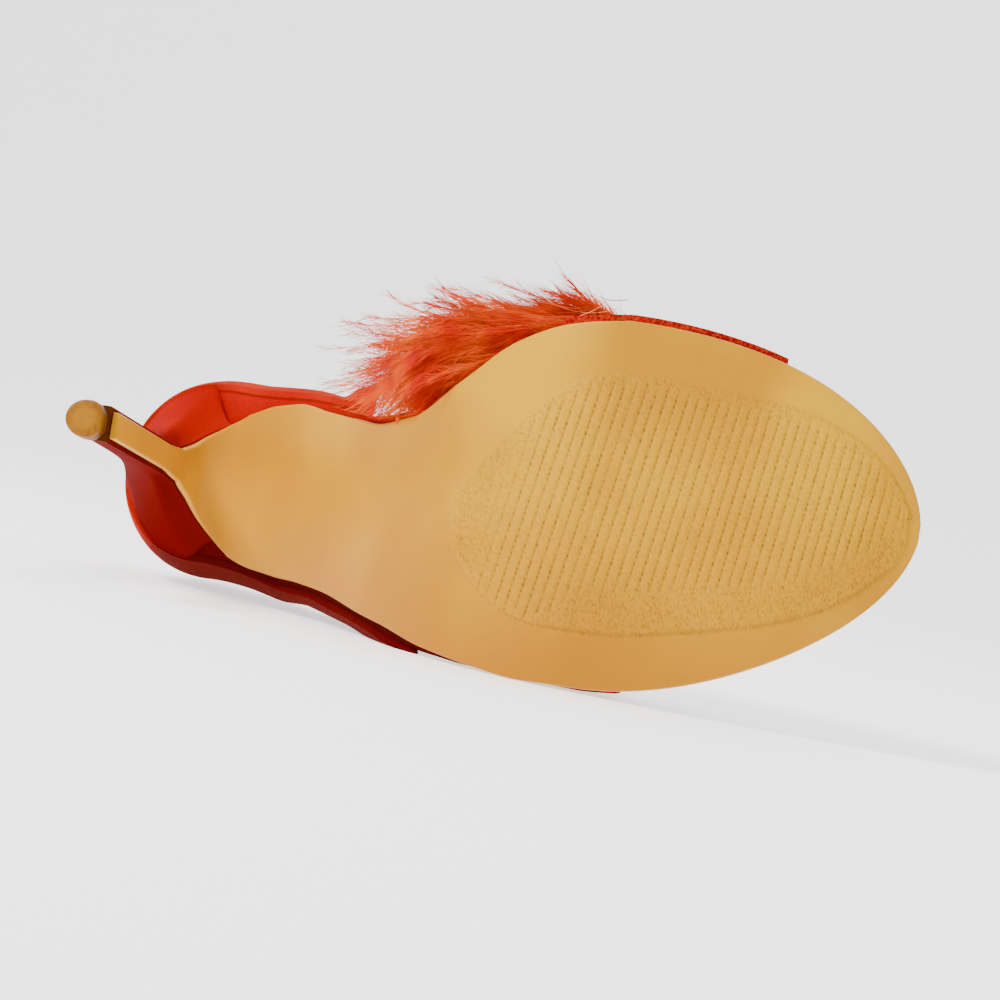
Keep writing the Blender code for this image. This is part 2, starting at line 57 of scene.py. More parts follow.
SHOE = Matrix((ahead, up.cross(ahead), up)).transposed().to_4x4()
SHOE.translation = heel_tread - ahead * HEEL_TREAD_PLACE

# Camera: at the photograph's angle to the shoe, which shows its underside. Its place and directions are
# in the shoe's frame, and its focus and aim are shares of the picture's width.
CAMERA_PLACE = Vector((0.21868, 0.08234, -0.71829))
CAMERA_RIGHT = Vector((0.98576, -0.14994, 0.0761))
CAMERA_DOWN = Vector((0.13394, 0.97382, 0.18365))
CAMERA_FORWARD = Vector((-0.10165, -0.17084, 0.98004))
PHOTO_FOCUS = 2.5
AIM_RIGHT = -0.134
AIM_DOWN = 0.146
ZOOM = 1.30

camera_data = bpy.data.cameras.new("camera")
camera = bpy.data.objects.new("camera", camera_data)
bpy.context.scene.collection.objects.link(camera)
bpy.context.scene.camera = camera
towards = CAMERA_FORWARD + CAMERA_RIGHT * (AIM_RIGHT / PHOTO_FOCUS)
towards += CAMERA_DOWN * (AIM_DOWN / PHOTO_FOCUS)
back = -towards.normalized()
right = (CAMERA_RIGHT - back * CAMERA_RIGHT.dot(back)).normalized()
turn = Matrix((right, back.cross(right), back)).transposed().to_4x4()
turn.translation = CAMERA_PLACE
camera.matrix_world = SHOE @ turn
camera_data.lens = PHOTO_FOCUS * camera_data.sensor_width * ZOOM
camera_data.clip_start = 0.01


# Outsole: one moulded tan sole from the toe to the heel's tip, with a flap down the front of the heel.
# It is lofted along its own path, with eased edges, and glued under the insole and to the heel.
LENGTH = 0.205
BALL_WIDTH = 0.0836
SEAT_WIDTH = 0.0480
SEAT_HEIGHT = 0.0917
SEAT_BACK = 0.0022
SEAT_ROUND = 0.025
TOE_SPRING = 0.0055
TOE_SPRING_START = 0.172
BALL_PLACE = 0.135
WIDTH_GROWS_FROM = 0.15
WIDTH_GROWS_OVER = 0.33
TOE_DRIFT = -0.0012
TOE_TAPER = 1.9
TOE_ROUNDNESS = 0.55
OUTSOLE_THICKNESS = 0.0025
OUTSOLE_EDGE = 0.0007
OUTSOLE_EDGE_START = 0.3
OUTSOLE_EDGE_TURNS = (0.0, 0.4, 0.8, 1.2)
OUTSOLE_TOE_INSET = 0.0002
CLEARANCE = 0.0003
STEM_FRONT = 0.0188
BREAST_RADIUS = 0.0105
BREAST_STRIP_WIDTH = 0.0062
BREAST_THICKNESS = 0.0016
HEEL_TIP_FRONT = 0.0184
HEEL_TIP_BARE = 0.002
EASED_ROWS = 9
TOP_PIECE_HEIGHT = 0.0050

# Height of the footbed: share of LENGTH from the back, share of SEAT_HEIGHT.
ARCH = (
    (0.00, 1.000),
    (0.06, 0.965),
    (0.12, 0.920),
    (0.18, 0.855),
    (0.24, 0.755),
    (0.30, 0.612),
    (0.36, 0.450),
    (0.42, 0.292),
    (0.48, 0.160),
    (0.54, 0.066),
    (0.60, 0.014),
    (0.64, 0.000),
    (1.00, 0.000),
)

# Plan of the outsole: share of LENGTH, inner and outer side as shares of the local last width.
OUTSOLE_PLAN = (
    (0.12, 0.270, 0.385),
    (0.16, 0.320, 0.426),
    (0.20, 0.365, 0.458),
    (0.24, 0.350, 0.451),
    (0.28, 0.285, 0.429),
    (0.33, 0.218, 0.416),
    (0.38, 0.174, 0.428),
    (0.42, 0.182, 0.438),
    (0.48, 0.278, 0.476),
    (0.54, 0.388, 0.511),
    (0.60, 0.446, 0.532),
    (0.66, 0.470, 0.532),
)

# Flap of the outsole down the heel: share of the breast's bend, share of the sole's width kept.
BREAST_TAPER = (
    (0.00, 1.00),
    (0.25, 0.79),
    (0.50, 0.52),
    (0.75, 0.22),
    (1.00, 0.06),
)


class Value:
    """A number in a material that can be used in plain arithmetic."""

    def __init__(self, look, socket):
        self.look = look
        self.socket = socket

    def math(self, operation, *others):
        return self.look.maths(operation, self, *others)

    def __add__(self, other):
        return self.math("ADD", other)

    def __radd__(self, other):
        return self.math("ADD", other)

    def __sub__(self, other):
        return self.math("SUBTRACT", other)

    def __rsub__(self, other):
        return self.look.maths("SUBTRACT", other, self)

    def __mul__(self, other):
        return self.math("MULTIPLY", other)

    def __rmul__(self, other):
        return self.math("MULTIPLY", other)

    def step(self, low, high):
        """0 at low and below, 1 at high and above, and smooth between them."""
        settings = {"interpolation_type": "SMOOTHSTEP"}
        out = self.look.node("ShaderNodeMapRange", settings, Value=self, From_Min=low, From_Max=high)
        return Value(self.look, out.outputs["Result"])


class Look:
    """A material with one main shader, its fixed values given at once and its nodes added by calls."""

    def __init__(self, name, **fixed):
        self.material = bpy.data.materials.new(name)
        self.material.use_nodes = True
        self.tree = self.material.node_tree
        self.shader = self.tree.nodes["Principled BSDF"]
        for key, value in fixed.items():
            self.shader.inputs[key.replace("_", " ")].default_value = value

    def connect(self, given, socket):
        if isinstance(given, Value):
            self.tree.links.new(given.socket, socket)
        elif hasattr(given, "is_output"):
            self.tree.links.new(given, socket)
        else:
            socket.default_value = given

    def node(self, kind, settings=None, **sockets):
        node = self.tree.nodes.new(kind)
        for key, value in (settings or {}).items():
            setattr(node, key, value)
        for key, given in sockets.items():
            self.connect(given, node.inputs[key.replace("_", " ")])
        return node

    def maths(self, operation, *given):
        node = self.node("ShaderNodeMath", {"operation": operation})
        for value, socket in zip(given, node.inputs):
            self.connect(value, socket)
        return Value(self, node.outputs[0])

    def place(self):
        """The point's position in the part's frame."""
        return self.node("ShaderNodeTexCoord").outputs["Object"]

    def along(self, axis, origin):
        """Distance of the point from origin along an axis of the shoe."""
        away = self.node("ShaderNodeVectorMath", {"operation": "SUBTRACT"})
        self.connect(self.place(), away.inputs[0])
        away.inputs[1].default_value = origin
        dot = self.node("ShaderNodeVectorMath", {"operation": "DOT_PRODUCT"})
        self.connect(away.outputs[0], dot.inputs[0])
        dot.inputs[1].default_value = axis
        return Value(self, dot.outputs["Value"])

    def weight(self, name):
        """A value that the mesh holds at its points."""
        return Value(self, self.node("ShaderNodeAttribute", {"attribute_name": name}).outputs["Fac"])

    def shoe_place(self):
        """The point's x, y and z in the shoe's frame."""
        origin = SHOE.translation
        return [self.along(SHOE.to_3x3().col[index], origin) for index in range(3)]

    def noise(self, size, detail=2.0, roughness=0.5):
        """Soft noise with features about size metres across, from 0 to 1."""
        sockets = {"Vector": self.place(), "Scale": 1 / size, "Detail": detail, "Roughness": roughness}
        return Value(self, self.node("ShaderNodeTexNoise", **sockets).outputs["Fac"])

    def cells(self, size):
        """Distance from the middle of the nearest of many cells of about size metres."""
        out = self.node("ShaderNodeTexVoronoi", Vector=self.place(), Scale=1 / size)
        return Value(self, out.outputs["Distance"])

    def colour(self, share, low, high):
        """A colour between low and high."""
        mix = self.node("ShaderNodeMix", {"data_type": "RGBA"})
        self.connect(share, mix.inputs[0])
        for index, given in ((6, low), (7, high)):
            self.connect((*given, 1.0) if isinstance(given, tuple) else given, mix.inputs[index])
        return mix.outputs[2]

    def finish(self, colour, roughness=None, relief=None, relief_depth=0.0001):
        """The material, with what changes over its surface joined to the main shader."""
        self.connect(colour, self.shader.inputs["Base Color"])
        if roughness is not None:
            self.connect(roughness, self.shader.inputs["Roughness"])
        if relief is not None:
            bump = self.node("ShaderNodeBump", Height=relief, Distance=relief_depth, Strength=1.0)
            self.connect(bump.outputs[0], self.shader.inputs["Normal"])
        return self.material


def mix(low, high, share):
    return low + (high - low) * share


def smooth(share):
    share = min(max(share, 0.0), 1.0)
    return share * share * (3 - 2 * share)


def read(table, place, column=1):
    """A value between the rows of a table, on a curve that doesn't overshoot them."""
    places = np.array([row[0] for row in table])
    values = np.array([row[column] for row in table])
    place = min(max(place, places[0]), places[-1])
    steps = np.diff(values) / np.diff(places)
    slopes = np.zeros(len(values))
    slopes[0], slopes[-1] = steps[0], steps[-1]
    for row in range(1, len(values) - 1):
        if steps[row - 1] * steps[row] > 0:
            slopes[row] = 2 / (1 / steps[row - 1] + 1 / steps[row])
    row = min(int(np.searchsorted(places, place, side="right")) - 1, len(values) - 2)
    width = places[row + 1] - places[row]
    t = (place - places[row]) / width
    low = (1 + 2 * t) * (1 - t) ** 2 * values[row] + t * (1 - t) ** 2 * width * slopes[row]
    high = t * t * (3 - 2 * t) * values[row + 1] + t * t * (t - 1) * width * slopes[row + 1]
    return float(low + high)


def bed_height(x):
    """Height of the insole's underside above the floor."""
    spring = max(0.0, (x - TOE_SPRING_START) / (LENGTH - TOE_SPRING_START))
    rise = SEAT_HEIGHT * read(ARCH, x / LENGTH) + TOE_SPRING * spring**1.6
    return OUTSOLE_THICKNESS + CLEARANCE + rise


def bed_slope(x):
    """Angle by which the footbed rises towards the heel."""
    step = 0.0005
    return math.atan2(bed_height(x - step) - bed_height(x + step), 2 * step)


def sides(plan, x):
    """Inner side (negative) and outer side of a plan at x."""
    width = mix(SEAT_WIDTH, BALL_WIDTH, smooth((x / LENGTH - WIDTH_GROWS_FROM) / WIDTH_GROWS_OVER))
    inner = -read(plan, min(x, BALL_PLACE) / LENGTH, 1) * width
    outer = read(plan, min(x, BALL_PLACE) / LENGTH, 2) * width
    if x > BALL_PLACE:
        ahead = min((x - BALL_PLACE) / (LENGTH - BALL_PLACE), 1.0)
        middle = mix((inner + outer) / 2, TOE_DRIFT, smooth(ahead))
        half = (outer - inner) / 2 * (1 - ahead**TOE_TAPER) ** TOE_ROUNDNESS
        inner, outer = middle - half, middle + half
    return inner, outer


def new_piece(name, points, faces, material, slot, replaces=None, sharp=35, **weights):
    """A mesh from points in the shoe's frame, riding on the shoe's one body, with weights for its paint."""
    turn = np.array(SHOE.to_3x3())
    points = np.asarray(points, float) @ turn.T + np.array(SHOE.translation)
    mesh = bpy.data.meshes.new(name)
    mesh.from_pydata(points.tolist(), [], faces)
    mesh.materials.append(material)
    for key, values in weights.items():
        mesh.attributes.new(key, "FLOAT", "POINT").data.foreach_set("value", np.asarray(values, np.float32))
    mesh.shade_smooth()
    mesh.set_sharp_from_angle(angle=math.radians(sharp))
    thing = bpy.data.objects.new(name, mesh)
    bpy.context.scene.collection.objects.link(thing)
    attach(thing, "root")
    if replaces:
        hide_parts(replaces)
    return thing


def loft(rings, capped=True):
    """Points and faces through rings of as many points each, with a strip of faces over each end."""
    count = len(rings[0])
    points = [point for ring in rings for point in ring]
    faces = []
    for row in range(len(rings) - 1):
        start = row * count
        for index in range(count):
            after = (index + 1) % count
            faces.append((start + index, start + after, start + count + after, start + count + index))
    if capped:
        for start, ahead in ((0, True), ((len(rings) - 1) * count, False)):
            for index in range(count // 2 - 1):
                other = count - 1 - index
                face = (start + index, start + index + 1, start + other - 1, start + other)
                faces.append(face if ahead else face[::-1])
    return points, faces


def sole_path(toe_steps=52, bed_steps=96, bend_steps=28, stem_steps=18):
    """Foot side of the outsole from the toe to the heel's tip, and where it leaves the footbed."""
    join = STEM_FRONT + BREAST_RADIUS
    for _ in range(40):  # the bend leaves the footbed where their slopes agree
        join = STEM_FRONT + BREAST_RADIUS * (1 + math.sin(bed_slope(join)))
    tip = LENGTH - OUTSOLE_TOE_INSET
    turns = [math.pi / 2 * i / toe_steps for i in range(toe_steps)]
    places = [BALL_PLACE + (tip - BALL_PLACE) * math.cos(angle) for angle in turns]
    places += [mix(BALL_PLACE, join, i / bed_steps) for i in range(bed_steps + 1)]
    line = []
    for x in places:
        slope = bed_slope(x)
        line.append((x, bed_height(x) - CLEARANCE, (math.sin(slope), math.cos(slope)), "bed", 0.0))
    start_x, start_z, start_normal = line[-1][:3]
    centre = (start_x - BREAST_RADIUS * start_normal[0], start_z - BREAST_RADIUS * start_normal[1])
    start_angle = math.atan2(start_normal[1], start_normal[0])
    for step in range(1, bend_steps + 1):
        share = step / bend_steps
        angle = mix(start_angle, math.pi, share)
        normal = (math.cos(angle), math.sin(angle))
        place = (centre[0] + BREAST_RADIUS * normal[0], centre[1] + BREAST_RADIUS * normal[1])
        line.append((*place, normal, "bend", share))
    end_z = TOP_PIECE_HEIGHT + CLEARANCE + HEEL_TIP_BARE
    for step in range(1, stem_steps + 1):
        share = step / stem_steps
        place = (mix(STEM_FRONT, HEEL_TIP_FRONT, share), mix(centre[1], end_z, share))
        line.append((*place, (-1.0, 0.0), "stem", share))
    return line, join


def path_sides(place, join):
    """Sides and thickness of the outsole at a place on its path."""
    x, _, _, kind, share = place
    strip = BREAST_STRIP_WIDTH / 2
    if kind == "bed":
        return (*sides(OUTSOLE_PLAN, x), OUTSOLE_THICKNESS)
    kept = read(BREAST_TAPER, share) if kind == "bend" else BREAST_TAPER[-1][1] * (1 - smooth(share * 4))
    inner, outer = sides(OUTSOLE_PLAN, join)
    thickness = mix(OUTSOLE_THICKNESS, BREAST_THICKNESS, share) if kind == "bend" else BREAST_THICKNESS
    return mix(-strip, inner, kept), mix(strip, outer, kept), thickness


def sole_rows():
    """Rows of (place, inner side, outer side, thickness), eased where the flap leaves the footbed."""
    line, join = sole_path()
    rows = np.array([path_sides(place, join) for place in line])
    first_bend = next(index for index, place in enumerate(line) if place[3] == "bend")
    eased = rows.copy()
    for index in range(first_bend - EASED_ROWS, first_bend + EASED_ROWS):
        reach = EASED_ROWS - abs(index - first_bend)
        eased[index, :2] = rows[index - reach : index + reach + 1, :2].mean(axis=0)
    return [(place, *row) for place, row in zip(line, eased.tolist())]


def sole_ring(place, inner, outer, thickness):
    """Section of the outsole: its tread side with round edges, then its flat foot side."""
    x, z, normal = place[:3]
    edge = min(OUTSOLE_EDGE, (outer - inner) / 4, thickness / 3)
    turns = OUTSOLE_EDGE_TURNS
    eased = [(edge * (1 - math.cos(turn)), thickness - edge * (1 - math.sin(turn))) for turn in turns]
    tread = [(inner, OUTSOLE_EDGE_START * thickness)]
    tread += [(inner + inset, depth) for inset, depth in eased]
    count = 12
    tread += [(mix(inner + edge, outer - edge, i / count), thickness) for i in range(count + 1)]
    tread += [(outer - inset, depth) for inset, depth in reversed(eased)]
    tread.append((outer, OUTSOLE_EDGE_START * thickness))
    foot = [(mix(outer, inner, i / (len(tread) - 1)), 0.0) for i in range(len(tread))]
    return [(x - normal[0] * depth, y, z - normal[1] * depth) for y, depth in tread + foot]


# Numbers of a section's points that lie on its round edges.
RIM_POINTS = (0, 1, 21, 22)


def tan_sole():
    look = Look("tan moulded sole", Specular_IOR_Level=0.12)
    x, y, _ = look.shoe_place()
    cloud = look.noise(0.045, 2.0).step(0.35, 0.68)
    base = look.colour(cloud, (0.43, 0.180, 0.0), (0.58, 0.285, 0.0))
    # Painted shade: the sole's colour darkens towards its outer side, standing in for the shade that falls
    # there.
    outer_side = y.step(-0.01, 0.05)
    base = look.colour(outer_side * 0.8, base, (0.39, 0.140, 0.0))
    heel_side = x.step(0.10, 0.04)
    base = look.colour(heel_side * 0.4, base, (0.52, 0.200, 0.0))
    # Painted highlight: the round edges of the sole are lightened where the rim weight is 1.
    base = look.colour(look.weight("rim") * 0.45, base, (0.75, 0.36, 0.09))
    speck = look.noise(0.0011, 3.0, 0.7).step(0.66, 0.74) * look.noise(0.03, 1.0).step(0.45, 0.6)
    base = look.colour(speck * 0.35, base, (0.25, 0.09, 0.01))
    relief = look.noise(0.0022, 3.0, 0.6) + look.noise(0.012, 1.0) * 3.0
    return look.finish(base, cloud * -0.06 + 0.42, relief, 0.00005)


path = sole_rows()
points, faces = loft([sole_ring(*row) for row in path])
# The rim weight marks the round edges that get the sole's painted highlight.
rim = [1.0 if index in RIM_POINTS else 0.0 for _ in path for index in range(len(points) // len(path))]
new_piece("outsole_surface", points, faces, tan_sole(), "tan_sole", "outsole", rim=rim)


# Tread: a slightly raised field under the ball, moulded in one with the sole. Fine ribs cross it in a
# slight fan, the grooves between them are rows of small pits, and its rim is a plain stippled strip.
FIELD_BACK = 0.0975
FIELD_ROUND = 0.036
FIELD_FRONT = 0.2035
FIELD_MARGIN = 0.0115
FIELD_TOE_MARGIN = 0.0040
FIELD_HEIGHT = 0.00040
FIELD_EASE = 0.0011
FIELD_BACK_EASE = 0.0045
RIB_FIRST_PITCH = 0.00264
RIB_LAST_PITCH = 0.00218
RIB_FIRST_TILT = -0.190
RIB_LAST_TILT = -0.125
RIB_COUNT = 38
RIB_PIVOT = 0.005
RIB_CROWN = 0.00005
STEPS_PER_RIB = 9
STEPS_PER_PIT = 3
TREAD_REACH = (-0.036, 0.040)
TREAD_SEED = 5
TREAD_RAGGEDNESS = 0.00022
CRUMB_HEIGHT = 0.000045
CRUMB_HEIGHT_ON_RIBS = 0.000022
GROOVE_WIDTH = 0.00048
GROOVE_DEPTH = 0.00030
PIT_PITCH = 0.0013
PIT_STAGGER = 0.37
RIB_BACK = 0.1075
PLAIN_STRIP = 0.0085
PLAIN_STRIP_BACK = 0.122
PLAIN_STRIP_RUN = 0.012
SEAM_INSET = 0.0010
SEAM_WIDTH = 0.0005
SEAM_DEPTH = 0.00016


def field_sides(x):
    """Sides of the tread's field at x."""
    inner, outer = sides(OUTSOLE_PLAN, min(x, FIELD_FRONT))
    margin = mix(FIELD_MARGIN, FIELD_TOE_MARGIN, smooth((x - 0.150) / (FIELD_FRONT - 0.150)))
    inner, outer = inner + margin, outer - margin
    behind = max(0.0, (FIELD_BACK + FIELD_ROUND - x) / FIELD_ROUND)
    round_back = math.sqrt(max(0.0, 1 - behind**2))
    middle = mix((inner + outer) / 2, 0.009, smooth(behind))
    half = max(0.0, (outer - inner) / 2) * round_back
    return middle - half, middle + half


def make_tread():
    """Points, faces and painted shade of the field, darkest in its grooves, pits, seam and low crumbs, on a
    grid that runs along its ribs.
    """
    ribs = np.arange(-5, RIB_COUNT + 3, 1 / STEPS_PER_RIB)
    rib, across = np.meshgrid(ribs, np.arange(*TREAD_REACH, PIT_PITCH / STEPS_PER_PIT), indexing="ij")
    wider = (RIB_LAST_PITCH - RIB_FIRST_PITCH) / (2 * RIB_COUNT)
    grid_x = RIB_BACK + rib * RIB_FIRST_PITCH + rib * rib * wider
    grid_x += mix(RIB_FIRST_TILT, RIB_LAST_TILT, rib / RIB_COUNT) * (across - RIB_PIVOT)
    edge_x = np.linspace(0.08, 0.2048, 240)
    edge = np.array([field_sides(x) for x in edge_x])
    depths = [CLEARANCE + OUTSOLE_THICKNESS / math.cos(bed_slope(x)) for x in edge_x]
    level = np.array([bed_height(x) - depth for x, depth in zip(edge_x, depths)])
    inner = np.interp(grid_x, edge_x, edge[:, 0])
    outer = np.interp(grid_x, edge_x, edge[:, 1])
    from_edge = np.minimum(across - inner, outer - across)
    from_edge = np.minimum(from_edge, np.minimum(grid_x - FIELD_BACK, FIELD_FRONT - grid_x))
    chance = np.random.default_rng(TREAD_SEED)
    ragged = chance.normal(0.0, TREAD_RAGGEDNESS, grid_x.shape)
    ease = mix(FIELD_BACK_EASE, FIELD_EASE, np.clip((grid_x - FIELD_BACK) / FIELD_ROUND, 0.0, 1.0))
    field = np.clip((from_edge + ragged) / ease, 0.0, 1.0)
    field = field * field * (3 - 2 * field)
    nearest = np.round(rib)
    groove = np.exp(-(((rib - nearest) * RIB_FIRST_PITCH / (GROOVE_WIDTH / 2)) ** 2))
    dots = np.cos(2 * np.pi * (across / PIT_PITCH + nearest * PIT_STAGGER)) > -0.4
    pits = mix(0.35, 1.0, chance.uniform(size=grid_x.shape) ** 1.5) * mix(0.45, 1.0, dots)
    plain = PLAIN_STRIP * np.clip((grid_x - PLAIN_STRIP_BACK) / PLAIN_STRIP_RUN, 0.0, 1.0)
    ribbed = np.minimum(across - inner - 0.001, outer - plain - across)
    ribbed = np.clip((ribbed + ragged * 4) / 0.003, 0, 1)
    ribbed *= np.clip(rib * 0.22 + 0.25, 0.0, 1.0) * (rib < RIB_COUNT + 0.4)
    fading = ribbed * (chance.uniform(size=grid_x.shape) < ribbed * 0.8 + 0.35)
    crumbs = chance.normal(0.0, 1.0, grid_x.shape)
    crumbs = field * crumbs * mix(CRUMB_HEIGHT, CRUMB_HEIGHT_ON_RIBS, ribbed)
    seam = np.exp(-(((from_edge - SEAM_INSET) / SEAM_WIDTH) ** 2)) * (across > 0.008)
    seam = seam * mix(0.3, 1.0, chance.uniform(size=grid_x.shape))
    crown = -RIB_CROWN * np.cos(2 * np.pi * rib) * ribbed
    cut = fading * groove * pits
    height = field * FIELD_HEIGHT + crown + crumbs - cut * GROOVE_DEPTH - seam * SEAM_DEPTH
    height -= (1 - field) * 0.00004
    points = np.stack([grid_x, across, np.interp(grid_x, edge_x, level) - height], axis=-1)
    keep = from_edge > -0.0009
    used = keep[:-1, :-1] & keep[1:, :-1] & keep[:-1, 1:] & keep[1:, 1:]
    number = np.arange(grid_x.size).reshape(grid_x.shape)
    faces = np.stack([number[:-1, :-1], number[:-1, 1:], number[1:, 1:], number[1:, :-1]], axis=-1)[used]
    kept, faces = np.unique(faces, return_inverse=True)
    # Painted shade: the grooves, pits, seam and low spots of the crumbs are darkened, standing in for the
    # shade in these hollows.
    dark = np.maximum(seam * 0.55, field * np.clip(-crumbs / 0.00008, 0, 1) * 0.5)
    dark = np.maximum(cut, dark).reshape(-1)
    return points.reshape(-1, 3)[kept], faces.reshape(-1, 4).tolist(), dark[kept]


def tread_look():
    look = Look("tan ribbed tread", Specular_IOR_Level=0.10)
    _, y, _ = look.shoe_place()
    cloud = look.noise(0.045, 2.0).step(0.35, 0.68)
    base = look.colour(cloud, (0.46, 0.200, 0.0), (0.59, 0.295, 0.0))
    # Painted shade: the tread's colour darkens towards its outer side.
    base = look.colour(y.step(-0.01, 0.05) * 0.7, base, (0.43, 0.162, 0.0))
    grain = look.noise(0.0009, 3.0, 0.7).step(0.52, 0.72)
    base = look.colour(grain * 0.25, base, (0.30, 0.10, 0.005))
    # Painted shade in the grooves, pits and seam, read from the groove weight.
    base = look.colour(look.weight("groove") * 0.9, base, (0.065, 0.020, 0.001))
    return look.finish(base, grain * 0.1 + 0.5, look.noise(0.0006, 3.0, 0.75), 0.00014)


points, faces, groove_shade = make_tread()
new_piece("tread_field", points, faces, tread_look(), "tan_sole", sharp=180, groove=groove_shade)


# Insole: a board with its shank, covered in red suede that shows as a band round the sole's edge.
# The same covering is the footbed. It carries the quarter and the strap.
INSOLE_THICKNESS = 0.0042
INSOLE_EDGE = 0.0011
INSOLE_INSET = 0.0004
INSOLE_SET_BACK = 0.0001
INSOLE_TOE_INSET = 0.0008
INSOLE_CUSHION = 0.00024

# Plan of the insole: share of LENGTH, inner and outer side as shares of the local last width.
INSOLE_PLAN = (
    (0.00, 0.455, 0.430),
    (0.12, 0.455, 0.430),
    (0.18, 0.430, 0.455),
    (0.24, 0.376, 0.470),
    (0.30, 0.290, 0.440),
    (0.36, 0.214, 0.440),
    (0.42, 0.204, 0.462),
    (0.48, 0.292, 0.487),
    (0.54, 0.396, 0.508),
    (0.57, 0.428, 0.505),
    (0.60, 0.452, 0.508),
    (0.66, 0.474, 0.517),
)


def insole_sides(x):
    inner, outer = sides(INSOLE_PLAN, x)
    inset = INSOLE_INSET * smooth((x - BALL_PLACE + SEAT_ROUND) / SEAT_ROUND)
    behind = max(0.0, (SEAT_ROUND - x) / (SEAT_ROUND - SEAT_BACK))
    round_back = max(0.0, 1 - behind**2.2) ** 0.5
    return (inner + inset) * round_back, (outer - inset) * round_back


def red_suede(name, low, high, nap=1.0):
    """Suede: a short nap in soft clouds, rubbed a little lighter in places."""
    look = Look(name, Sheen_Weight=0.12 * nap, Sheen_Roughness=0.35, Specular_IOR_Level=0.03)
    look.shader.inputs["Sheen Tint"].default_value = (1.0, 0.10, 0.03, 1.0)
    x, y, _ = look.shoe_place()
    shaded = y.step(-0.012, 0.024) * x.step(0.001, 0.014)
    cloud = look.noise(0.030, 2.0, 0.5).step(0.3, 0.7)
    fibre = look.noise(0.0007, 4.0, 0.75)
    base = look.colour(cloud, low, high)
    base = look.colour(fibre.step(0.35, 0.75) * 0.35, base, tuple(0.4 * part for part in high))
    base = look.colour(look.weight("lining") * 0.7, base, tuple(0.45 * part for part in low))
    base = look.colour(shaded * 0.92, base, (0.05, 0.0, 0.0))
    relief = fibre + look.noise(0.004, 2.0) * 1.4
    return look.finish(base, fibre * 0.12 + 0.80, relief, 0.00018 * nap)


def make_insole():
    back = SEAT_BACK + INSOLE_SET_BACK
    front = LENGTH - INSOLE_TOE_INSET
    stations = [mix(SEAT_ROUND, back, math.cos(math.pi / 2 * i / 24)) for i in range(24)]
    stations += [mix(SEAT_ROUND, BALL_PLACE, i / 70) for i in range(70)]
    stations += [mix(BALL_PLACE, front, math.sin(math.pi / 2 * i / 40)) for i in range(41)]
    rings = []
    for x in stations:
        inner, outer = insole_sides(x)
        rise = 1 / math.cos(bed_slope(x))
        edge = min(INSOLE_EDGE, (outer - inner) / 4)
        top = INSOLE_THICKNESS
        cushion = INSOLE_CUSHION * smooth((outer - inner) / 0.02)
        under = [(inner, 0.4 * edge), (inner + 0.4 * edge, 0.0)]
        under += [(mix(inner, outer, share), 0.0) for share in (0.2, 0.35, 0.5, 0.65, 0.8)]
        under += [(outer - 0.4 * edge, 0.0), (outer, 0.4 * edge)]
        over = [(outer, top - edge), (outer - 0.3 * edge, top - 0.3 * edge), (outer - edge, top)]
        for share in (0.7, 0.5, 0.3):
            over.append((mix(inner, outer, share), top + 4 * cushion * share * (1 - share)))
        over += [(inner + edge, top), (inner + 0.3 * edge, top - 0.3 * edge), (inner, top - edge)]
        rings.append([(x, y, bed_height(x) + height * rise) for y, height in under + over])
    return loft(rings)


points, faces = make_insole()
COVERED_BOARD = red_suede("red covered board", (0.34, 0.0, 0.0), (0.46, 0.006, 0.0), 0.6)
new_piece("insole_surface", points, faces, COVERED_BOARD, "red_covered_board", "insole")


# Heel: a slim moulded stiletto covered in the upper's suede, flared to the seat, with a bare brown
# neck at its tip. The sole's flap is glued to its front.
HEEL_TIP_BACK = 0.0098
HEEL_TIP_WIDTH = 0.0084
STEM_FLARE = 6.0
STEM_BACK_SWEEP = 3.0
HEEL_RIM_INSET = -0.0016
HEEL_FRONT_SHARE = 0.28
HEEL_LIP = 0.985
HEEL_FRONT_MARGIN = 0.0006


def heel_fronts():
    """Rows of (share of the way up, x, inner side, outer side) of the heel's front."""
    base = TOP_PIECE_HEIGHT + CLEARANCE
    half = HEEL_TIP_WIDTH / 2
    rows = [(0.0, HEEL_TIP_FRONT - CLEARANCE, -half, half)]
    for place, inner, outer, _ in reversed(sole_rows()):
        x, z, normal, kind = place[:4]
        if kind == "bed":
            break
        x += normal[0] * CLEARANCE
        z += normal[1] * CLEARANCE
        level = (z - base) / (bed_height(x) - CLEARANCE - base)
        if level < HEEL_LIP:
            inner = min(inner - HEEL_FRONT_MARGIN, -half)
            outer = max(outer + HEEL_FRONT_MARGIN, half)
            rows.append((level, x, inner, outer))
    rows.append((1.0, *rows[-1][1:]))
    return rows


def make_heel():
    base = TOP_PIECE_HEIGHT + CLEARANCE
    half = HEEL_TIP_WIDTH / 2
    depth_steps = 26
    rings = []
    for level, front, inner_front, outer_front in heel_fronts():
        rear = mix(HEEL_TIP_BACK, SEAT_BACK + HEEL_RIM_INSET, level**STEM_BACK_SWEEP)
        flare = level**STEM_FLARE
        inner_side = []
        outer_side = []
        for step in range(depth_steps + 1):
            depth = (1 - math.cos(math.pi * step / depth_steps)) / 2
            x = mix(front, rear, depth)
            z = mix(base, bed_height(x) - CLEARANCE, level)
            stem = half * max(0.0, 1 - depth**3) ** 0.5
            seat_inner, seat_outer = insole_sides(x)
            inner = -mix(stem, max(-seat_inner - HEEL_RIM_INSET, 0.0), flare)
            outer = mix(stem, max(seat_outer - HEEL_RIM_INSET, 0.0), flare)
            behind_front = smooth(depth / HEEL_FRONT_SHARE)
            inner_side.append((x, mix(inner_front, inner, behind_front), z))
            outer_side.append((x, mix(outer_front, outer, behind_front), z))
        rings.append(inner_side + outer_side[::-1])
    return loft(rings)


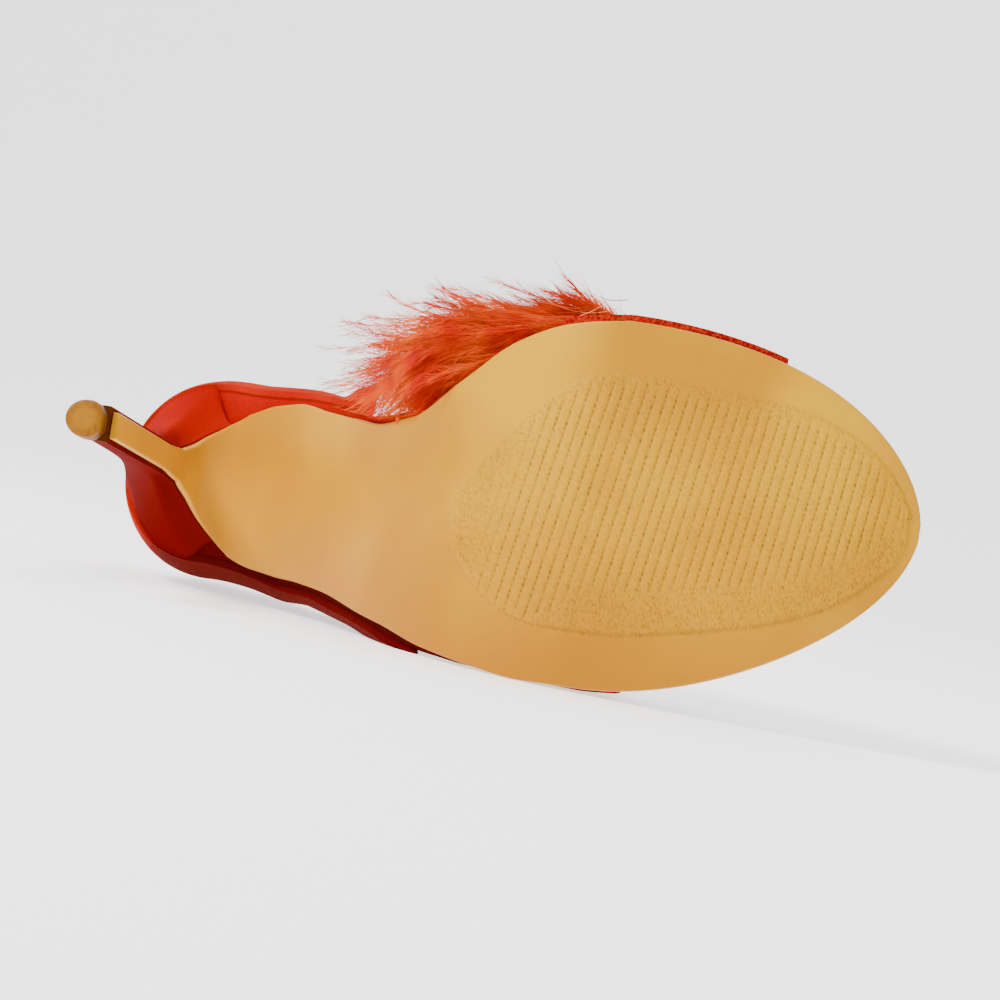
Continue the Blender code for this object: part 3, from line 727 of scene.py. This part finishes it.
def heel_look():
    look = Look("red covered heel", Specular_IOR_Level=0.02)
    x, y, z = look.shoe_place()
    shaded = y.step(-0.014, 0.001) * x.step(0.0015, 0.007)
    cloud = look.noise(0.030, 2.0, 0.5).step(0.3, 0.7)
    fibre = look.noise(0.0007, 4.0, 0.75)
    base = look.colour(cloud, (0.28, 0.0, 0.0), (0.42, 0.008, 0.0))
    base = look.colour(shaded * 0.85, base, (0.07, 0.0, 0.0))
    neck = z.step(0.0095, 0.0065)
    base = look.colour(neck, base, (0.075, 0.016, 0.002))
    return look.finish(base, fibre * 0.12 + 0.74, fibre, 0.00012)


points, faces = make_heel()
new_piece("heel_surface", points, faces, heel_look(), "red_covered_heel", "heel", sharp=50)


# Top piece: the hard amber tread at the heel's tip, flat in front and round behind, worn pale in its
# middle. It is pressed onto the heel.
TOP_PIECE_DEPTH = 0.0100
TOP_PIECE_WIDTH = 0.0088
TOP_PIECE_EDGE = 0.0007
TOP_PIECE_SET_BACK = 0.0012
TOP_PIECE_CORNER = 0.75
TOP_PIECE_ROUND = 0.9


def make_top_piece():
    middle = (HEEL_TIP_FRONT + HEEL_TIP_BACK) / 2
    front = middle + TOP_PIECE_DEPTH / 2 - TOP_PIECE_SET_BACK
    half = TOP_PIECE_WIDTH / 2
    corner = half * TOP_PIECE_CORNER
    outline = []
    for step in range(9):
        angle = math.pi / 2 * step / 8
        x = front - corner + corner * math.cos(angle)
        outline.append((x, half - corner + corner * math.sin(angle)))
    centre = front - half * TOP_PIECE_ROUND
    reach = TOP_PIECE_DEPTH - TOP_PIECE_SET_BACK - half * TOP_PIECE_ROUND
    for step in range(1, 40):
        angle = math.pi / 2 + math.pi * step / 40
        outline.append((centre + reach * math.cos(angle), half * math.sin(angle)))
    outline += [(x, -y) for x, y in outline[8::-1]]
    rings = []
    edge = TOP_PIECE_EDGE
    rise = ((2.2 * edge, 0.0), (edge, 0.0), (0.3 * edge, 0.3 * edge), (0.0, edge), (0.0, 0.004))
    for inset, z in (*rise, (0.0, TOP_PIECE_HEIGHT)):
        kept = 1 - inset / half
        rings.append([(middle + (x - middle) * kept, y * kept, z) for x, y in outline])
    points, faces = loft(rings, capped=False)
    count = len(outline)
    faces.append(tuple(range(count))[::-1])
    faces.append(tuple(range((len(rings) - 1) * count, len(rings) * count)))
    return points, faces


def top_piece_look():
    look = Look("amber top piece", Specular_IOR_Level=0.15)
    x, y, z = look.shoe_place()
    away = ((x - 0.0135).math("POWER", 2.0) + y.math("POWER", 2.0)).math("SQRT")
    worn = away.step(0.0042, 0.0018) * z.step(0.0012, 0.0002)
    grain = look.noise(0.0012, 3.0, 0.65)
    base = look.colour(grain.step(0.35, 0.7), (0.17, 0.055, 0.0), (0.24, 0.085, 0.0))
    base = look.colour(worn * 0.6, base, (0.33, 0.14, 0.004))
    base = look.colour(z.step(0.0010, 0.0022) * 0.9, base, (0.07, 0.017, 0.0))
    return look.finish(base, grain * 0.15 + 0.36, grain, 0.00006)


points, faces = make_top_piece()
new_piece("top_piece_surface", points, faces, top_piece_look(), "amber_top_piece", "top_piece", sharp=40)


# Quarter: the closed counter behind the heel with a wing to each side, in red suede over a stiffener,
# lasted under the insole. Its top edge is folded over and stitched, and its lining is darker.
QUARTER_WALL = 0.0016
LASTING = 0.0030
WING_FOOT = 0.012
WING_FOOT_RUN = 0.042
WING_FOOT_HEIGHT = 0.30
QUARTER_HEIGHT = 0.054
QUARTER_BULGE = 0.0028
QUARTER_TOP_LEAN = 0.0050
WING_OUTER_END = 0.084
WING_INNER_END = 0.071
WING_OUTER_FLARE = -0.0030
WING_INNER_FLARE = 0.0130
WING_RAKE = 0.24
WING_CORNER = 0.009
WING_SHARE = 0.45
WING_OUTER_SHARE = 0.75
WING_FLATNESS = 0.8
QUARTER_CROWDING = 0.35

STITCH_PITCH = 0.0027
STITCH_LENGTH = 0.0019
STITCH_INSET = 0.0017
STITCH_RINGS = 5
THREAD_RADIUS = 0.00022

# Wall of the quarter: share of its height, bulge, inward lean and outward flare of the wings.
QUARTER_WALL_FORM = (
    (0.00, 0.00, 0.00, 0.00),
    (0.12, 0.60, 0.00, 0.02),
    (0.28, 1.00, 0.00, 0.10),
    (0.46, 0.85, 0.12, 0.28),
    (0.64, 0.50, 0.36, 0.55),
    (0.82, 0.20, 0.68, 0.84),
    (1.00, 0.00, 1.00, 1.00),
)

# Folded top edge of the quarter: share of the wall's thickness, rise.
QUARTER_FOLD = (
    (0.15, 0.0003),
    (0.50, 0.0005),
    (0.85, 0.0003),
)

# Top line of the quarter: share of the way from the back to a wing's end, share of QUARTER_HEIGHT.
QUARTER_TOP_LINE = (
    (0.00, 1.00),
    (0.20, 0.97),
    (0.45, 0.86),
    (0.70, 0.80),
    (1.00, 0.86),
)


def quarter_plan(side_steps=56, back_steps=28):
    """Points round the insole's edge from the outer wing to the inner one: (x, y, share, side)."""
    points = []
    for side, end in ((1, WING_OUTER_END), (-1, WING_INNER_END)):
        half = []
        for step in range(side_steps):
            share = step / side_steps
            share = share + QUARTER_CROWDING * share * (1 - share)
            half.append(mix(end, SEAT_ROUND, share))
        for step in range(back_steps):
            half.append(mix(SEAT_ROUND, SEAT_BACK, math.sin(math.pi / 2 * step / back_steps)))
        run = []
        for x in half:
            inner, outer = insole_sides(x)
            run.append((x, outer if side > 0 else inner, (end - x) / end, side))
        points += run + [(SEAT_BACK, 0.0, 1.0, 0)] if side > 0 else run[::-1]
    return points


def quarter_rows(offset, height_steps=30):
    """Columns of points up the quarter's wall, moved outward by offset from its middle."""
    plan = quarter_plan()
    columns = []
    for index, (x, y, back_share, side) in enumerate(plan):
        ahead = smooth(1 - (WING_OUTER_END - x) / WING_FOOT_RUN) if side > 0 else 0.0
        before = plan[max(index - 1, 0)]
        after = plan[min(index + 1, len(plan) - 1)]
        along = Vector((after[0] - before[0], after[1] - before[1]))
        outward = Vector((along.y, -along.x)).normalized()
        if outward.dot(Vector((x - WING_OUTER_END, y))) < 0:
            outward = -outward
        end = WING_OUTER_END if side > 0 else WING_INNER_END
        wing_flare = WING_OUTER_FLARE if side > 0 else WING_INNER_FLARE
        wing = smooth(1 - back_share / (WING_OUTER_SHARE if side > 0 else WING_SHARE))
        height = QUARTER_HEIGHT * read(QUARTER_TOP_LINE, 1 - back_share)
        to_end = max(0.0, WING_CORNER - (end - x)) / WING_CORNER
        height -= WING_CORNER * (1 - math.sqrt(1 - to_end**2)) if side else 0.0
        start = Vector((x, y)) + outward * (CLEARANCE + QUARTER_WALL / 2)
        tucked = start - outward * (LASTING if to_end < 0.9 else 0.0)
        foot = WING_FOOT * ahead
        wider = insole_sides(x + foot)[1] - y if foot else 0.0
        level = bed_height(max(x + foot, 0.0)) + 0.0004
        column = [(tucked.x + foot, tucked.y + wider, level)] if offset > 0 else []
        for step in range(height_steps + 1):
            share = step / height_steps
            bulge, lean, flare = (read(QUARTER_WALL_FORM, share, index) for index in (1, 2, 3))
            out = QUARTER_BULGE * bulge * (1 - WING_FLATNESS * wing)
            out += wing_flare * flare * wing - QUARTER_TOP_LEAN * lean * (1 - wing)
            foot = WING_FOOT * ahead * max(0.0, 1 - share / WING_FOOT_HEIGHT) ** 2
            wider = insole_sides(x + foot)[1] - y if foot else 0.0
            place = start + outward * (out + offset)
            rise = height * share
            level = bed_height(max(x + foot, 0.0)) + rise
            column.append((place.x + foot - WING_RAKE * rise * wing, place.y + wider, level))
        columns.append(column)
    return columns


def make_quarter():
    half = QUARTER_WALL / 2
    outer = quarter_rows(half)
    inner = quarter_rows(-half)
    rings = []
    for outside, inside in zip(outer, inner):
        top_out, top_in = Vector(outside[-1]), Vector(inside[-1])
        fold = []
        for share, rise in QUARTER_FOLD:
            fold.append(tuple(top_out.lerp(top_in, share) + Vector((0, 0, rise))))
        rings.append(outside + fold + inside[::-1])
    points, faces = loft(rings)
    first_inside = len(outer[0]) + len(QUARTER_FOLD)
    lining = [float(index >= first_inside) for _ in rings for index in range(len(rings[0]))]
    return points, faces, lining


def make_stitches(line):
    """Short round stitches along a line of (point, outward direction) pairs."""
    places = [point for point, _ in line]
    lengths = np.concatenate(([0.0], np.cumsum([(b - a).length for a, b in zip(places, places[1:])])))
    outs = [out for _, out in line]

    def between(vectors, at):
        return Vector([np.interp(at, lengths, [vector[axis] for vector in vectors]) for axis in range(3)])

    points = []
    faces = []
    for start in np.arange(STITCH_PITCH, lengths[-1] - STITCH_PITCH, STITCH_PITCH):
        first = len(points)
        for ring in range(STITCH_RINGS):
            share = ring / (STITCH_RINGS - 1)
            at = start + STITCH_LENGTH * share
            middle = between(places, at)
            out = between(outs, at).normalized()
            aside = out.cross(between(places, at + 0.0003) - middle).normalized()
            sink = THREAD_RADIUS * (1.1 * (2 * share - 1) ** 4 - 0.35)
            for corner in range(6):
                angle = math.pi * corner / 3
                radial = aside * math.cos(angle) + out * math.sin(angle)
                points.append(middle - out * sink + radial * THREAD_RADIUS)
        for ring in range(STITCH_RINGS - 1):
            for corner in range(6):
                low, high = first + 6 * ring + corner, first + 6 * ring + (corner + 1) % 6
                faces.append((low, high, high + 6, low + 6))
    return [tuple(point) for point in points], faces


def thread_look():
    look = Look("red thread", Specular_IOR_Level=0.25)
    twist = look.noise(0.0004, 2.0)
    base = look.colour(twist, (0.40, 0.004, 0.0), (0.62, 0.03, 0.004))
    return look.finish(base, twist * 0.2 + 0.5, twist, 0.00008)


RED_SUEDE = red_suede("red suede", (0.33, 0.001, 0.0), (0.52, 0.018, 0.0))
THREAD = thread_look()
points, faces, lining = make_quarter()
columns = quarter_rows(QUARTER_WALL / 2)
within = quarter_rows(-QUARTER_WALL / 2)
line = []
for outside, inside in zip(columns[3:-3], within[3:-3]):
    high, low = Vector(outside[-1]), Vector(outside[-2])
    share = min(STITCH_INSET / (high - low).length, 1.0)
    line.append((high.lerp(low, share), (high - Vector(inside[-1])).normalized()))
stitches, stitch_faces = make_stitches(line)
new_piece("quarter_stitches", stitches, stitch_faces, THREAD, "red_suede", sharp=180)
new_piece("quarter_surface", points, faces, RED_SUEDE, "red_suede", "quarter", sharp=50, lining=lining)


# Vamp strap: one band of the same suede over the ball of the foot, lasted under the insole at both
# sides. The plume is sewn on it.
STRAP_WALL = 0.0016
STRAP_WIDTH = 0.040
STRAP_OUTER_FRONT = 0.144
STRAP_OUTER_BACK = 0.118
STRAP_INNER_FRONT = 0.171
STRAP_INNER_BACK = 0.119
INSTEP_HEIGHT = 0.042
INSTEP_FALL = 0.30
STRAP_SQUARENESS = 2.25
STRAP_RAKE = 0.16
STRAP_INNER_BULGE = 0.0038
STRAP_CROWDING = 0.7
STRAP_STITCH_STEPS = 120


def strap_point(along, across, out=0.0):
    """A point on the strap: along from its back edge, across from its inner foot over the instep."""
    turn = math.pi * across
    share = smooth(across)
    back = mix(STRAP_INNER_BACK, STRAP_OUTER_BACK, share)
    front = mix(STRAP_INNER_FRONT, STRAP_OUTER_FRONT, share)
    x = mix(back, front, along)
    inner, outer = insole_sides(x)
    half = (outer - inner) / 2 + CLEARANCE + STRAP_WALL / 2 + out
    height = INSTEP_HEIGHT - INSTEP_FALL * (x - STRAP_OUTER_BACK) + out
    power = 2 / STRAP_SQUARENESS
    y = (inner + outer) / 2 - half * math.copysign(abs(math.cos(turn)) ** power, math.cos(turn))
    y -= STRAP_INNER_BULGE * max(0.0, math.sin(2 * turn)) if turn < math.pi / 2 else 0.0
    rise = height * abs(math.sin(turn)) ** power
    lean = STRAP_RAKE * max(0.0, rise - 2 * INSOLE_THICKNESS)
    return Vector((x - lean, y, bed_height(x) + rise))


def make_strap(along_steps=44, across_steps=160):
    half = STRAP_WALL / 2
    rings = []
    for step in range(across_steps + 1):
        across = step / across_steps
        across += STRAP_CROWDING * across * (1 - across) * (2 * across - 1)
        outside = [strap_point(i / along_steps, across, half) for i in range(along_steps + 1)]
        inside = [strap_point(i / along_steps, across, -half) for i in range(along_steps + 1)]
        rings.append(outside + inside[::-1])
    return loft(rings)


def strap_look():
    """The same suede, grainy with light and dark specks along the lasted edges, with painted shade towards
    its outer side.
    """
    look = Look("red suede strap", Sheen_Weight=0.12, Sheen_Roughness=0.35, Specular_IOR_Level=0.03)
    look.shader.inputs["Sheen Tint"].default_value = (1.0, 0.10, 0.03, 1.0)
    _, y, z = look.shoe_place()
    fibre = look.noise(0.0007, 4.0, 0.75)
    edge = z.step(0.0085, 0.0045)
    grain = look.cells(0.0008)
    base = look.colour(look.noise(0.030, 2.0).step(0.3, 0.7), (0.30, 0.0, 0.0), (0.42, 0.008, 0.0))
    base = look.colour(fibre.step(0.35, 0.75) * 0.30, base, (0.13, 0.0, 0.0))
    # Painted shade: the strap darkens towards its outer side.
    base = look.colour(y.step(-0.012, 0.026) * 0.6, base, (0.11, 0.0, 0.0))
    base = look.colour(edge * grain.step(0.45, 0.65) * 0.45, base, (0.55, 0.04, 0.01))
    base = look.colour(edge * grain.step(0.30, 0.10) * 0.6, base, (0.05, 0.0, 0.0))
    return look.finish(base, fibre * 0.12 + 0.78, fibre + edge * grain * 3.0, 0.0002)


points, faces = make_strap()
new_piece("vamp_strap_surface", points, faces, strap_look(), "red_suede", "vamp_strap", sharp=50)
for name, along in (("front", 1 - STITCH_INSET / STRAP_WIDTH), ("back", STITCH_INSET / STRAP_WIDTH)):
    line = []
    for step in range(4, STRAP_STITCH_STEPS - 3):
        across = step / STRAP_STITCH_STEPS
        outside = strap_point(along, across, STRAP_WALL / 2)
        line.append((outside, (outside - strap_point(along, across)).normalized()))
    stitches, stitch_faces = make_stitches(line)
    new_piece(f"strap_stitches_{name}", stitches, stitch_faces, THREAD, "red_suede", sharp=180)


# Feather trim: soft marabou plumes sewn on the strap, swept back and out past the sole's inner edge.
# Each has a thin shaft with loose barbs, orange red at the root and brown at the tips.
# Layers: how many feathers, how far they reach, how bright they are, draped over the waist or not.
FEATHER_LAYERS = (
    (240, 0.75, 0.95, False),
    (240, 0.95, 1.00, False),
    (90, 1.10, 1.00, False),
    (280, 1.75, 1.00, True),
)
FEATHER_SEED = 11
SHAFT_SHORTEST = 0.015
SHAFT_LONGEST = 0.027
BARB_LENGTH = 0.0080
BARB_WIDTH = 0.00017
BARB_PAIRS = 52
SHAFT_WIDTH = 0.00028
PLUME_FRONT = 0.150
PLUME_INNER_FRONT = 0.134
PLUME_INNER_BACK = 0.100
PLUME_OUTER_BACK = 0.116
PLUME_LOW = 0.10
PLUME_HIGH = 0.62
PLUME_RISE = 0.45
PLUME_SIDE_GAP = 0.0006
PLUME_BED_GAP = 0.001
PLUME_DEPTH = 0.012
THROUGH_COLOUR = (0.75, 0.06, 0.0, 1.0)
THROUGH_SHARE = 0.35


def plume_point(x, across, out):
    """A point on the strap, or behind it on its surface carried on."""
    share = smooth(across)
    back = mix(STRAP_INNER_BACK, STRAP_OUTER_BACK, share)
    front = mix(STRAP_INNER_FRONT, STRAP_OUTER_FRONT, share)
    along = max((x - back) / (front - back), 0.0)
    point = strap_point(along, across, STRAP_WALL / 2 + out)
    trail = max(back - x, 0.0)
    return point + Vector((-trail, 0.0, PLUME_RISE * trail))


def ribbons(starts, directions, bends, lengths, widths, chance, segments=3):
    """Thin tapering ribbons, as points, faces and each point's share of the way to the tip."""
    count = len(starts)
    aside = np.cross(directions, chance.normal(size=(count, 3)))
    aside /= np.linalg.norm(aside, axis=1, keepdims=True) + 1e-9
    points = []
    shares = []
    for step in range(segments):
        t = step / segments
        middle = starts + lengths[:, None] * (directions * t + bends * t * t / 2)
        half = aside * (widths * (1 - 0.6 * t) / 2)[:, None]
        points += [middle - half, middle + half]
        shares += [np.full(count, t)] * 2
    points.append(starts + lengths[:, None] * (directions + bends / 2))
    shares.append(np.ones(count))
    points = np.stack(points, axis=1)
    per = points.shape[1]
    first = np.arange(count)[:, None] * per
    faces = []
    for step in range(segments - 1):
        low = 2 * step
        faces.append(first + np.array([low, low + 1, low + 3, low + 2]))
    tips = first + np.array([per - 3, per - 2, per - 1])
    return points.reshape(-1, 3), np.concatenate(faces), tips, np.stack(shares, axis=1).reshape(-1)


def keep_clear(points):
    """Moves what would lie in the sole up over its footbed or out past its inner edge."""
    xs = np.linspace(0.03, 0.2, 200)
    inner = np.interp(points[:, 0], xs, [sides(OUTSOLE_PLAN, x)[0] for x in xs]) - PLUME_SIDE_GAP
    bed = np.interp(points[:, 0], xs, [bed_height(x) + INSOLE_THICKNESS for x in xs]) + PLUME_BED_GAP
    low = (points[:, 2] < bed) & (points[:, 1] > inner)
    near_edge = low & (points[:, 1] - inner < bed - points[:, 2])
    points[near_edge, 1] = inner[near_edge]
    over = low & ~near_edge
    points[over, 2] = bed[over]
    sunk = points[:, 2] < bed - PLUME_DEPTH
    points[sunk, 2] = bed[sunk] - PLUME_DEPTH
    return points


def make_feathers(count, chance, reach, draped):
    """Feathers over the strap, or draped from its back along the footbed's inner edge."""
    points = []
    quads = []
    tips = []
    shares = []
    total = 0
    for _ in range(count):
        spot = chance.uniform() ** 1.6 * (0.25 if draped else 1.0)
        across = mix(PLUME_LOW, PLUME_HIGH, spot) - (0.06 if draped else 0.0)
        rear = mix(PLUME_INNER_BACK, PLUME_OUTER_BACK, smooth(spot))
        front = mix(PLUME_INNER_FRONT, PLUME_FRONT, smooth(spot * 2))
        lift = chance.uniform() ** (2.2 if draped else 0.65)
        x = mix(rear, front, lift)
        root = plume_point(x, across, 0.0006)
        outward = np.array((plume_point(x, across, 0.004) - root).normalized())
        root = np.array(root)
        if draped:
            heading = np.array([-1.0, chance.uniform(0.4, 1.15), 0.5]) + chance.normal(0.0, 0.13, 3)
            bend = np.array([-0.1, -0.2, 0.1]) + chance.normal(0.0, 0.3, 3)
        else:
            heading = outward * (chance.uniform(-0.6, 0.15) + 0.72 * lift) + np.array([-1.25, 0.0, 0.2])
            heading = heading + chance.normal(0.0, 0.13, 3)
            bend = np.array([-0.5, 0.0, -0.2]) + outward * chance.uniform(-1.0, 0.0)
            bend = bend + chance.normal(0.0, 0.22, 3)
        heading /= np.linalg.norm(heading)
        length = chance.uniform(SHAFT_SHORTEST, SHAFT_LONGEST) * reach
        length *= 1.0 if draped else 1.06 - 0.28 * lift
        t = np.linspace(0.06, 1.0, BARB_PAIRS)
        shaft = root + length * (heading * t[:, None] + bend * (t**2)[:, None] / 2)
        tangent = heading + bend * t[:, None]
        tangent /= np.linalg.norm(tangent, axis=1, keepdims=True)
        side = np.cross(tangent, outward + chance.normal(0.0, 0.3, 3))
        side /= np.linalg.norm(side, axis=1, keepdims=True)
        for hand in (-1, 1):
            spread = chance.uniform(0.35, 0.9, (BARB_PAIRS, 1))
            aim = tangent * chance.uniform(0.7, 1.2, (BARB_PAIRS, 1)) + side * hand * spread
            aim += chance.normal(0.0, 0.17, (BARB_PAIRS, 3))
            aim /= np.linalg.norm(aim, axis=1, keepdims=True)
            curl = tangent * 0.5 - side * hand * 0.5 + chance.normal(0.0, 0.35, (BARB_PAIRS, 3))
            fuller = 0.55 + 0.45 * np.sin(np.pi * np.minimum(t + 0.2, 1))
            size = BARB_LENGTH * chance.uniform(0.6, 1.15, BARB_PAIRS) * fuller * (1.2 if draped else 1.0)
            width = BARB_WIDTH * chance.uniform(0.7, 1.2, BARB_PAIRS)
            made, four, three, share = ribbons(shaft, aim, curl, size, width, chance)
            points.append(made)
            quads.append(four + total)
            tips.append(three + total)
            shares.append(0.25 + 0.75 * share * np.repeat(mix(0.6, 1.0, t), len(share) // BARB_PAIRS))
            total += len(made)
        size, width = np.array([length]), np.array([SHAFT_WIDTH])
        made, four, three, share = ribbons(root[None], heading[None], bend[None], size, width, chance, 9)
        points.append(made)
        quads.append(four + total)
        tips.append(three + total)
        shares.append(share * 0.3)
        total += len(made)
    faces = np.concatenate(quads).tolist() + np.concatenate(tips).tolist()
    return keep_clear(np.concatenate(points)), faces, np.concatenate(shares)


def feather_look(name, bright):
    """Down that lets some light through, with dark patches near the tips."""
    look = Look(name, Roughness=0.75, Specular_IOR_Level=0.08)
    tip = look.weight("tip")
    patch = look.noise(0.010, 2.0).step(0.35, 0.65)
    base = look.colour(patch, (0.62 * bright, 0.015, 0.0), (0.80 * bright, 0.105, 0.0))
    dark = tip.step(0.50, 0.95) * look.noise(0.007, 2.0).step(0.38, 0.60)
    base = look.colour(dark * 0.85, base, (0.12, 0.020, 0.008))
    material = look.finish(base)
    through = look.node("ShaderNodeBsdfTranslucent")
    through.inputs["Color"].default_value = THROUGH_COLOUR
    both = look.node("ShaderNodeMixShader")
    both.inputs[0].default_value = THROUGH_SHARE
    look.tree.links.new(look.shader.outputs[0], both.inputs[1])
    look.tree.links.new(through.outputs[0], both.inputs[2])
    look.tree.links.new(both.outputs[0], look.tree.nodes["Material Output"].inputs["Surface"])
    return material


chance = np.random.default_rng(FEATHER_SEED)
for number, (count, reach, bright, draped) in enumerate(FEATHER_LAYERS, 1):
    points, faces, shares = make_feathers(count, chance, reach, draped)
    look = feather_look(f"orange red feather {number}", bright)
    name = f"plume_layer_{number}"
    new_piece(name, points, faces, look, "orange_red_feather", sharp=180, tip=shares)
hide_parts("feather_trim")


# Quills: a few bare, paler feather shafts that stand a little proud of the plume, sewn in with it.
# They are thin tapering ribbons, and their colour lightens towards the tip.
QUILLS = 34
QUILL_WIDTH = 0.00024
QUILL_LENGTHS = (0.010, 0.022)
QUILL_PLACES = (0.05, 0.22)
QUILL_COLOURS = ((0.70, 0.16, 0.02), (0.90, 0.36, 0.10))


def make_quills(chance):
    roots = []
    headings = []
    for _ in range(QUILLS):
        across = chance.uniform(*QUILL_PLACES)
        x = chance.uniform(PLUME_INNER_BACK, PLUME_INNER_FRONT)
        root = plume_point(x, across, 0.0025)
        outward = np.array((plume_point(x, across, 0.006) - root).normalized())
        roots.append(np.array(root) + outward * chance.uniform(0.0, 0.003))
        inward = np.array([-1.0, chance.uniform(-0.1, 0.75), 0.42])
        headings.append(inward + outward * chance.uniform(-0.2, 0.2) + chance.normal(0.0, 0.14, 3))
    headings = np.array(headings)
    headings /= np.linalg.norm(headings, axis=1, keepdims=True)
    bends = np.array([-0.1, -0.5, -0.1]) + chance.normal(0.0, 0.45, headings.shape)
    lengths = chance.uniform(*QUILL_LENGTHS, QUILLS)
    widths = np.full(QUILLS, QUILL_WIDTH)
    points, quads, tips, shares = ribbons(np.array(roots), headings, bends, lengths, widths, chance, 10)
    return keep_clear(points), quads.tolist() + tips.tolist(), shares


def quill_look():
    look = Look("light quill")
    base = look.colour(look.weight("tip").step(0.0, 0.8), *QUILL_COLOURS)
    return look.finish(base, look.noise(0.002) * 0.2 + 0.4)


points, faces, shares = make_quills(chance)
new_piece("plume_quills", points, faces, quill_look(), "orange_red_feather", sharp=180, tip=shares)


# Studio: a pale floor that the shoe lies on and that curves up behind it, three large soft lights and
# a pale sky. None of it belongs to the shoe.
def make_studio():
    sweep = [(-1.6, 0.0), (-0.8, 0.0), (0.0, 0.0), (0.9, 0.0)]
    for step in range(1, 13):
        angle = math.pi / 2 * step / 12
        sweep.append((0.9 + 0.8 * math.sin(angle), 0.8 * (1 - math.cos(angle))))
    sweep.append((1.7, 3.0))
    points = []
    for y, z in sweep:
        points += [(-4.0, y, z), (4.0, y, z)]
    faces = [(2 * i, 2 * i + 1, 2 * i + 3, 2 * i + 2) for i in range(len(sweep) - 1)]
    mesh = bpy.data.meshes.new("floor")
    mesh.from_pydata(points, [], faces)
    mesh.shade_smooth()
    look = Look("pale floor", Roughness=0.7, Specular_IOR_Level=0.2, Emission_Strength=1.1)
    look.shader.inputs["Emission Color"].default_value = (1.0, 1.0, 1.0, 1.0)
    look.shader.inputs["Base Color"].default_value = (0.93, 0.93, 0.93, 1.0)
    mesh.materials.append(look.material)
    floor = bpy.data.objects.new("floor", mesh)
    bpy.context.scene.collection.objects.link(floor)


def make_light(name, place, aim, size, power):
    data = bpy.data.lights.new(name, "AREA")
    data.shape = "DISK"
    data.size = size
    data.energy = power
    light = bpy.data.objects.new(name, data)
    bpy.context.scene.collection.objects.link(light)
    light.location = place
    light.rotation_euler = (Vector(aim) - Vector(place)).to_track_quat("-Z", "Y").to_euler()


make_studio()
make_light("key", (-0.75, -0.62, 0.90), (0.0, 0.0, 0.03), 0.45, 24.0)
make_light("fill", (0.75, -1.0, 0.45), (0.0, 0.0, 0.03), 0.8, 4.5)
make_light("top", (0.1, 0.25, 1.1), (0.0, 0.0, 0.04), 0.7, 8.0)
sky = bpy.data.worlds.new("sky")
sky.use_nodes = True
sky.node_tree.nodes["Background"].inputs["Color"].default_value = (1.0, 1.0, 1.0, 1.0)
sky.node_tree.nodes["Background"].inputs["Strength"].default_value = 0.50
bpy.context.scene.world = sky
